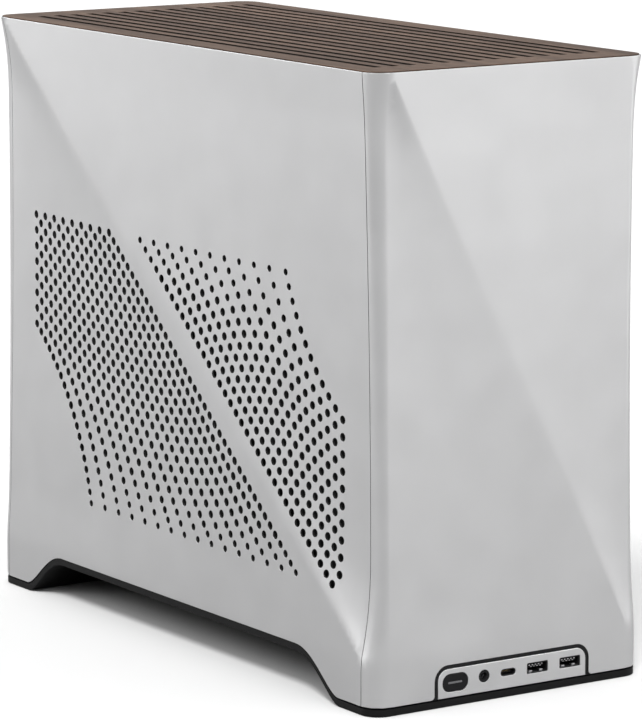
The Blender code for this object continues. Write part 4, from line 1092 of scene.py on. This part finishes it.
def liners():
    """Black mesh bonded behind the perforation of each side panel."""
    corners = [(-0.153, 0.056), (0.122, 0.056), (0.152, 0.085), (0.152, 0.2135), (-0.118, 0.2135), (-0.153, 0.140)]
    loop = round_loop(corners, 0.006, 4)
    points = [(-y, z) for y, z in fill(loop, 0.012, margin=0.002)]
    behind = Vector((0.0042, 0.0, 0.0))
    for side, place in (("left", lambda u, v: side_point(-u, v) + behind),
                        ("right", lambda u, v: turned(side_point(-u, v) + behind))):
        made = sheet(f"side_liner_{side}", place, dense(flipped(loop), 0.01), (), points, thick=0.0003, bevel=0.00005)
        piece(made, f"{side}_side", "black_steel", paint=accents["liner"])


# Boards


def main_board():
    """Main board with its sockets, sinks, chokes, chips and leads."""
    face = -7.7
    build("board_sheet", "circuit_board", [((-9.3, -6.5, 105), (face, 163.5, 275))], replaced=["motherboard"],
          bevel=0.1)
    low = face - 0.2
    black = [((low, 30, z), (2.3, 118, z + 2.9)) for z in (108, 112.3)]
    black += [((low, y, 108), (2.3, y + 2, 115.2)) for y in (30, 47, 116)]
    for y in (7.5, 17.0):
        black += [((low, y + s - 1.05, 132), (-1.9, y + s + 1.05, 272)) for s in (-1.95, 1.95)]
        black += [((low, y - 2.7, z), (3.5, y + 2.7, z + 5)) for z in (128.4, 268.8)]
    black += [((low, 30, z), (0.6, 44, z + 5)) for z in (250, 257, 264)]
    build("board_sockets", "port_black", black, bevel=0.25)
    plug = [((low, -6.2, 189), (3.4, 3.4, 243)), ((3.4, -5.4, 190), (9.0, 2.6, 242)),
            ((-1.0, 2.6, 212), (7.5, 4.2, 220))]
    build("supply_plug", "card_shroud", plug, bevel=0.3)
    socket = [((low, 61, 178), (-3.6, 66, 218)), ((low, 96, 178), (-3.6, 101, 218)), ((low, 66, 178), (-3.6, 96, 182)),
              ((low, 66, 214), (-3.6, 96, 218))]
    build("processor_frame", "shield_steel", socket, bevel=0.3)
    sinks = [((low, 116, 190), (-3.4, 134.5, 262)), ((low, 27, 152), (-5.4, 49, 178))]
    sinks += [((-3.6, 116.4, 190.4 + 4.2 * k), (12.1, 134.1, 192.2 + 4.2 * k)) for k in range(18)]
    sinks += [((-5.6, 27.3 + 3.5 * k, 152.3), (-1.9, 28.6 + 3.5 * k, 177.7)) for k in range(7)]
    build("board_sinks", "heatsink", sinks, bevel=0.2)
    chokes = [((low, 104.2, 181 + 9.6 * k), (-1.6, 111.6, 188.4 + 9.6 * k)) for k in range(8)]
    chokes += [((low, 66 + 9.6 * k, 224), (-1.6, 73.4 + 9.6 * k, 231.4)) for k in range(4)]
    build("board_chokes", "card_shroud", chokes, bevel=0.7)
    can = [(0, 7.6), (2.0, 7.6), (2.35, 7.2), (2.45, 1.4), (2.3, 1.0), (2.6, 0.6), (2.6, 0.0)]
    spots = [(64 + 7 * k, 237) for k in range(5)] + [(112.5, 172 - 8 * k) for k in range(4)]
    spots += [(57, 160 + 9 * k) for k in range(3)] + [(125, 183), (131, 183), (125, 270), (60, 250), (66.5, 250)]
    build("board_cans", "shield_steel", turned_parts=[(can, (face, y, z), (1, 0, 0), {"steps": 24}) for y, z in spots])
    build("board_header", "port_black", [((low, 26.5, 222), (1.2, 34.5, 243)), ((low, 40, 216), (0.2, 46, 230))],
          paint=accents["teal"], bevel=0.4)

    # Small parts strewn over the free board: 60 chips, then many specks, off the rectangles that are taken
    taken = [((28, 106), (120, 117)), ((3, 127), (21, 275)), ((-7, 187), (5, 245)), ((59, 176), (103, 220)),
             ((114, 186), (164, 264)), ((25, 150), (51, 180)), ((103, 179), (113, 258)), ((64, 222), (104, 242)),
             ((28, 248), (46, 271)), ((22, 120), (106, 147)), ((25, 214), (48, 244)), ((136, 120), (164, 258)),
             ((109, 144), (117, 176)), ((53, 156), (61, 182)), ((120, 178), (136, 188)), ((56, 246), (71, 254)),
             ((120, 266), (130, 275))]
    draw = random.Random(11)
    chips, specks = [], []
    for number in range(420):
        big = number < 60
        wide, tall = (draw.uniform(3, 8), draw.uniform(3, 8)) if big else draw.choice(((0.8, 1.6), (1.6, 0.8)))
        y, z = draw.uniform(-5, 162 - wide), draw.uniform(106.5, 273.5 - tall)
        if any(a[0] < y + wide and y < b[0] and a[1] < z + tall and z < b[1] for a, b in taken):
            continue
        taken.append(((y - 0.5, z - 0.5), (y + wide + 0.5, z + tall + 0.5)))
        made = ((face - 0.1, y, z), (face + (1.1 if big else 0.6), y + wide, z + tall))
        (chips if big else specks).append(made)
    build("board_chips", "circuit_board", chips, paint=accents["chip"], bevel=0.15)
    build("board_parts", "circuit_board", specks, paint=accents["ivory"], bevel=0.1)
    head = [(0, 1.0), (1.2, 1.3), (1.3, 1.9), (2.3, 1.8), (2.9, 1.2), (2.9, 0)]
    build("board_screws", "shield_steel",
          turned_parts=[(head, (face, y, z), (1, 0, 0)) for y in (-1.5, 153.5) for z in (111.4, 266.2)])

    for number, y in enumerate((7.5, 17.0), 1):
        low_x = -1.4
        module = [f"memory_module_{number}"]
        build(f"memory_board_{number}", "circuit_board", [((low_x, y - 0.6, 134.7), (28.6, y + 0.6, 267.8))],
              replaced=module, bevel=0.1)
        spreader = [((low_x + 3.4, y + s - 0.5, 136.2), (29.1, y + s + 0.5, 266.2)) for s in (-1.25, 1.25)]
        spreader += [((low_x + 7, y - 1.8, z), (27.4, y + 1.8, z + 26)) for z in (142, 174, 206, 238)]
        build(f"memory_spreader_{number}", "memory_spreader", spreader, replaced=module, bevel=0.35)
        pins = [((low_x + 0.2, y - 0.68, 137 + 2.1 * k), (low_x + 3.0, y + 0.68, 138.1 + 2.1 * k))
                for k in range(61) if k != 36]
        build(f"memory_contacts_{number}", "memory_spreader", pins, paint=accents["gold"], bevel=0.05)
    build("ssd_board", "circuit_board", [((-5.2, 24, 122.5), (-4.3, 104, 144.5))], replaced=["ssd"], bevel=0.1)
    chips = [((-4.4, y, 125), (-3.0, y + 16, 142)) for y in (30, 72)]
    chips += [((-4.4, 51, 127), (-3.1, 64, 140)), ((-7.9, 100, 130), (-4.9, 105, 137))]
    build("ssd_chips", "circuit_board", chips, paint=accents["chip"], bevel=0.2)
    strands = []
    for k in range(12):
        z = 192.2 + 4.32 * k
        for x in (4.6, 7.4):
            out = 1.0 if x > 5 else 0.0
            strands.append([(8.6, -3.4 + 3.6 * out, z), (16 + 2 * out, -3.6 + 3.6 * out, z),
                            (30 + 3 * out, -6 + 4 * out, z + 0.6), (33 + 3.4 * out, -30, z - 0.6),
                            (27 + 3.4 * out, -50, z), (20 + 3.4 * out, -60, z), (20 + 3.4 * out, -66.5, z)])
    leads("supply_leads", "cable_black", strands, 1.25)


def rear_sockets():
    """Sockets behind the shield's and the card's openings: steel sleeves, dark inserts and bright contacts."""
    sleeves, inserts, contacts, jacks = [], [], [], []

    def sleeve(x0, x1, z0, z1, depth, front):
        for a, b in (((x0, z0), (x1, z0 + 0.5)), ((x0, z1 - 0.5), (x1, z1)), ((x0, z0), (x0 + 0.5, z1)),
                     ((x1 - 0.5, z0), (x1, z1))):
            sleeves.append(((a[0], front - depth, a[1]), (b[0], front, b[1])))
        inserts.append(((x0, front - depth - 0.6, z0), (x1, front - depth + 0.4, z1)))

    for start, stop in ((127, 141), (147, 161)):
        for x in (-5.9, 5.9):
            sleeve(x, x + 11.3, start + 0.4, stop - 0.4, 16, 162.4)
            inserts.append(((x + 6.0, 147, start + 2.0), (x + 7.6, 160.6, stop - 2.0)))
            contacts += [((x + 5.8, 150, start + 2.6 + 2.2 * k), (x + 6.2, 160, start + 3.7 + 2.2 * k))
                         for k in range(4)]
    for start, stop in ((169, 185), (191, 207)):
        sleeve(-5.9, 8.2, start + 0.3, stop - 0.3, 14, 162.4)
        inserts.append(((-5.4, 148, start + 4.5), (-3.6, 161.4, stop - 4.5)))
        contacts += [((4.2, 149, start + 3.4 + 1.15 * k), (6.8, 158, start + 3.9 + 1.15 * k)) for k in range(8)]
        sleeve(8.4, 17.4, start + 0.8, stop - 0.8, 14, 162.4)
        inserts.append(((12.0, 149, start + 2.6), (13.4, 161, stop - 2.6)))
    sleeve(-5.9, 0.6, 213.5, 226.5, 12, 162.4)
    inserts.append(((-3.2, 152, 215.5), (-2.2, 161, 224.5)))
    sleeve(4.4, 10.9, 213.5, 226.5, 12, 162.4)
    inserts.append(((7.1, 152, 215.5), (8.1, 161, 224.5)))
    inserts.append(((-6.0, 145, 233.2), (17.4, 162.0, 260.8)))
    for x in (-0.2, 11.8):
        for z in (238.0, 247.0, 256.0):
            ring = [(1.8, -6.0), (1.8, 0.9), (2.2, 1.3), (3.0, 1.1), (3.2, 0.5), (3.2, 0.0), (1.6, 0.0), (1.6, -6.0)]
            jacks.append((ring, (x, 162.0, z), (0, 1, 0), {"closed": True, "steps": 28}))
    for z in (94, 118, 142, 166):
        sleeve(-40.2, -34.8, z + 0.3, z + 15.7, 11, 164.6)
        inserts.append(((-38.0, 155, z + 2.4), (-37.0, 163.6, z + 13.6)))
    build("socket_sleeves", "shield_steel", sleeves, bevel=0.12)
    build("socket_inserts", "port_black", inserts, bevel=0.2)
    build("socket_contacts", "shield_steel", contacts, paint=accents["gold"], bevel=0.08)
    build("socket_jacks", "port_black", turned_parts=jacks)


# Power supply, card, filter and screws


def supply_details():
    """Wire guard over the supply's fan, its lead sockets, and the mains lead from the inlet."""
    x, y, z = 49.2, -116.0, 228.5
    wire = [(0.75 * math.cos(a), 0.75 * math.sin(a)) for a in [math.pi * k / 4 for k in range(8)]]
    parts = [([(radius + a, b) for a, b in wire], (x, y, z), (1, 0, 0), {"closed": True, "steps": 56})
             for radius in (44.6, 36, 28, 20, 12)]
    hub = [(0, -0.5), (11.6, -0.5), (12, 0), (11.6, 0.5), (0, 0.5)]
    parts.append((hub, (x, y, z), (1, 0, 0)))
    for turn in (45, 135, 225, 315):
        way = Vector((0, math.cos(math.radians(turn)), math.sin(math.radians(turn))))
        rod = [(0, 11.5), (0.8, 11.5), (0.8, 48.5), (0, 48.5)]
        parts.append((rod, (x - 0.9, y, z), way, {"steps": 10}))
        screw = [(0, 0.7), (1.4, 0.8), (1.5, 1.6), (2.6, 1.4), (3.0, 0.4), (3.0, -1.4), (0, -1.4)]
        parts.append((screw, (x - 0.4, y + 50 * way.y, z + 50 * way.z), (1, 0, 0), {"steps": 20}))
    build("guard_wires", "screw_black", turned_parts=parts, replaced=["psu_fan_guard"])
    sockets = [((14, -66.4, low), (30, -62.5, high)) for low, high in ((189, 243), (250, 270), (172, 182))]
    build("supply_sockets", "port_black", sockets, bevel=0.4)
    exit_at = (42, 146.4, 62)
    route = [exit_at, (42, 120, 62), (60, 90, 62), (60, -120, 62), (40, -144, 90), (26.2, -144, 120),
             (26.2, -144, 175)]
    eased = [route[0]]
    for a, b in zip(route, route[1:]):
        eased += [tuple(p + (q - p) * s for p, q in zip(a, b)) for s in (0.3, 0.7)]
    leads("mains_lead", "cable_black", [eased + [route[-1]]], 3.3, replaced=["power_lead"])
    boot = [(3.4, 0), (5.6, -0.1), (5.6, 2.5)]
    boot += [(5.0 - 0.35 * (k // 2) + (0.5 if k % 2 else 0.0), 4.0 + 2.0 * k) for k in range(8)] + [(3.4, 19.5)]
    build("lead_boot", "cable_black", turned_parts=[(boot, exit_at, (0, -1, 0), {"closed": True})])


def card_details():
    """Raised rims round the card's fan ducts, and struts behind its fans."""
    rims, struts = [], []
    for row in ("front", "rear"):
        low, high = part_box(f"gpu_fan_rotor_{row}")
        centre = (low + high) / 2 / MM
        profile = [(50.5, 0.0), (50.5, 1.1), (51.2, 1.4), (52.6, 1.2), (53.2, 0.0)]
        rims.append((profile, (-69.0, centre.y, centre.z), (-1, 0, 0), {"closed": True, "steps": 64}))
        for k in range(3):
            turn = math.pi / 2 + 2 * math.pi * k / 3
            way = Vector((0, math.cos(turn), math.sin(turn)))
            rod = [(0, 16), (1.5, 16), (1.2, 50.6), (0, 50.6)]
            struts.append((rod, (-54.6, centre.y, centre.z), way, {"steps": 10}))
    build("duct_rims", "card_shroud", turned_parts=rims)
    build("duct_struts", "card_shroud", turned_parts=struts)


def filter_tray():
    """Filter's frame with its ribs and grip, and the mesh stretched over it."""
    # Seen from below: u runs against x
    outline = dense(window((-68, -114.5), (68, 114.5), 5), 0.02)
    panes = [window((x, y), (x + 61, y + 50), 3) for x in (-63.5, 2.5) for y in (-110, -52, 6, 60)]
    made = sheet("filter_frame", lambda u, v: Vector((-u, v, FILTER_Z)), outline, panes, thick=0.0029, bevel=0.0003)
    piece(made, "filter", "black_base", ["dust_filter"])
    grip = [((-70.4, -14, FILTER_Z / MM), (-67, 14, FILTER_Z / MM + 2.9))]
    build("filter_grip", "black_base", grip, bevel=0.6, body="filter")
    mesh = [((-66, -112.5, FILTER_Z / MM + 1.7), (66, 112.5, FILTER_Z / MM + 2.0))]
    build("filter_mesh", "black_base", mesh, paint=accents["filter"], bevel=0.05, body="filter")


def rear_screws():
    head = [(0, 2.6), (0.9, 2.7), (1.0, 3.6), (2.7, 3.9), (3.6, 3.5), (3.6, 0.6), (3.1, 0.0), (0, 0.0)]
    for node, x, z in (("rear_screw_left", -58, 285), ("rear_screw_right", 58, 285), ("card_screw", -45, 202.5)):
        build(node.replace("screw", "knob"), "screw_black",
              turned_parts=[(head, (x, 166.5, z), (0, 1, 0), {"steps": 44, "knurl": 0.06})], replaced=[node])


def cad_finish():
    """Finish and softened edges for every CAD node that still shows."""
    slots = {row["node"]: row["material_slot"] for row in frame["record"]["subparts"]}
    special = {"top_carrier": "mesh", "riser_ribbon": "ribbon", "psu_board": "chip"}
    edges = {"cpu_heatsink": 0.15, "gpu_heatsink": 0.15, "foot": 0.5, "gpu_shroud": 0.8}
    for name, made in nodes.items():
        made.data.materials.clear()
        made.data.materials.append(accents[special[name]] if name in special else paints[slots[name]])
        if made.hide_render or name in ("riser_ribbon", "top_carrier"):
            continue
        bevel = made.modifiers.new("edges", "BEVEL")
        bevel.width = MM * next((edges[key] for key in edges if name.startswith(key)), 0.25)
        bevel.segments = 2
        bevel.limit_method = "ANGLE"
        bevel.angle_limit = math.radians(40)


side_panels()
wrap_panels()
liners()
studs_and_clips()
base_shell()
slatted_top()
port_plate()
ports()
frame_plates()
main_board()
rear_sockets()
supply_details()
card_details()
filter_tray()
rear_screws()
for node, axis, count in (("bottom_fan_rotor_front", (0, 0, 1), 7), ("bottom_fan_rotor_rear", (0, 0, 1), 7),
                          ("psu_fan_rotor", (1, 0, 0), 7), ("cpu_fan_rotor", (1, 0, 0), 7),
                          ("gpu_fan_rotor_front", (-1, 0, 0), 9), ("gpu_fan_rotor_rear", (-1, 0, 0), 9)):
    body = node.replace("_fan", "").replace("gpu", "card")
    rotor(node.replace("rotor", "blades"), body, node, axis, count)
cad_finish()
studio()
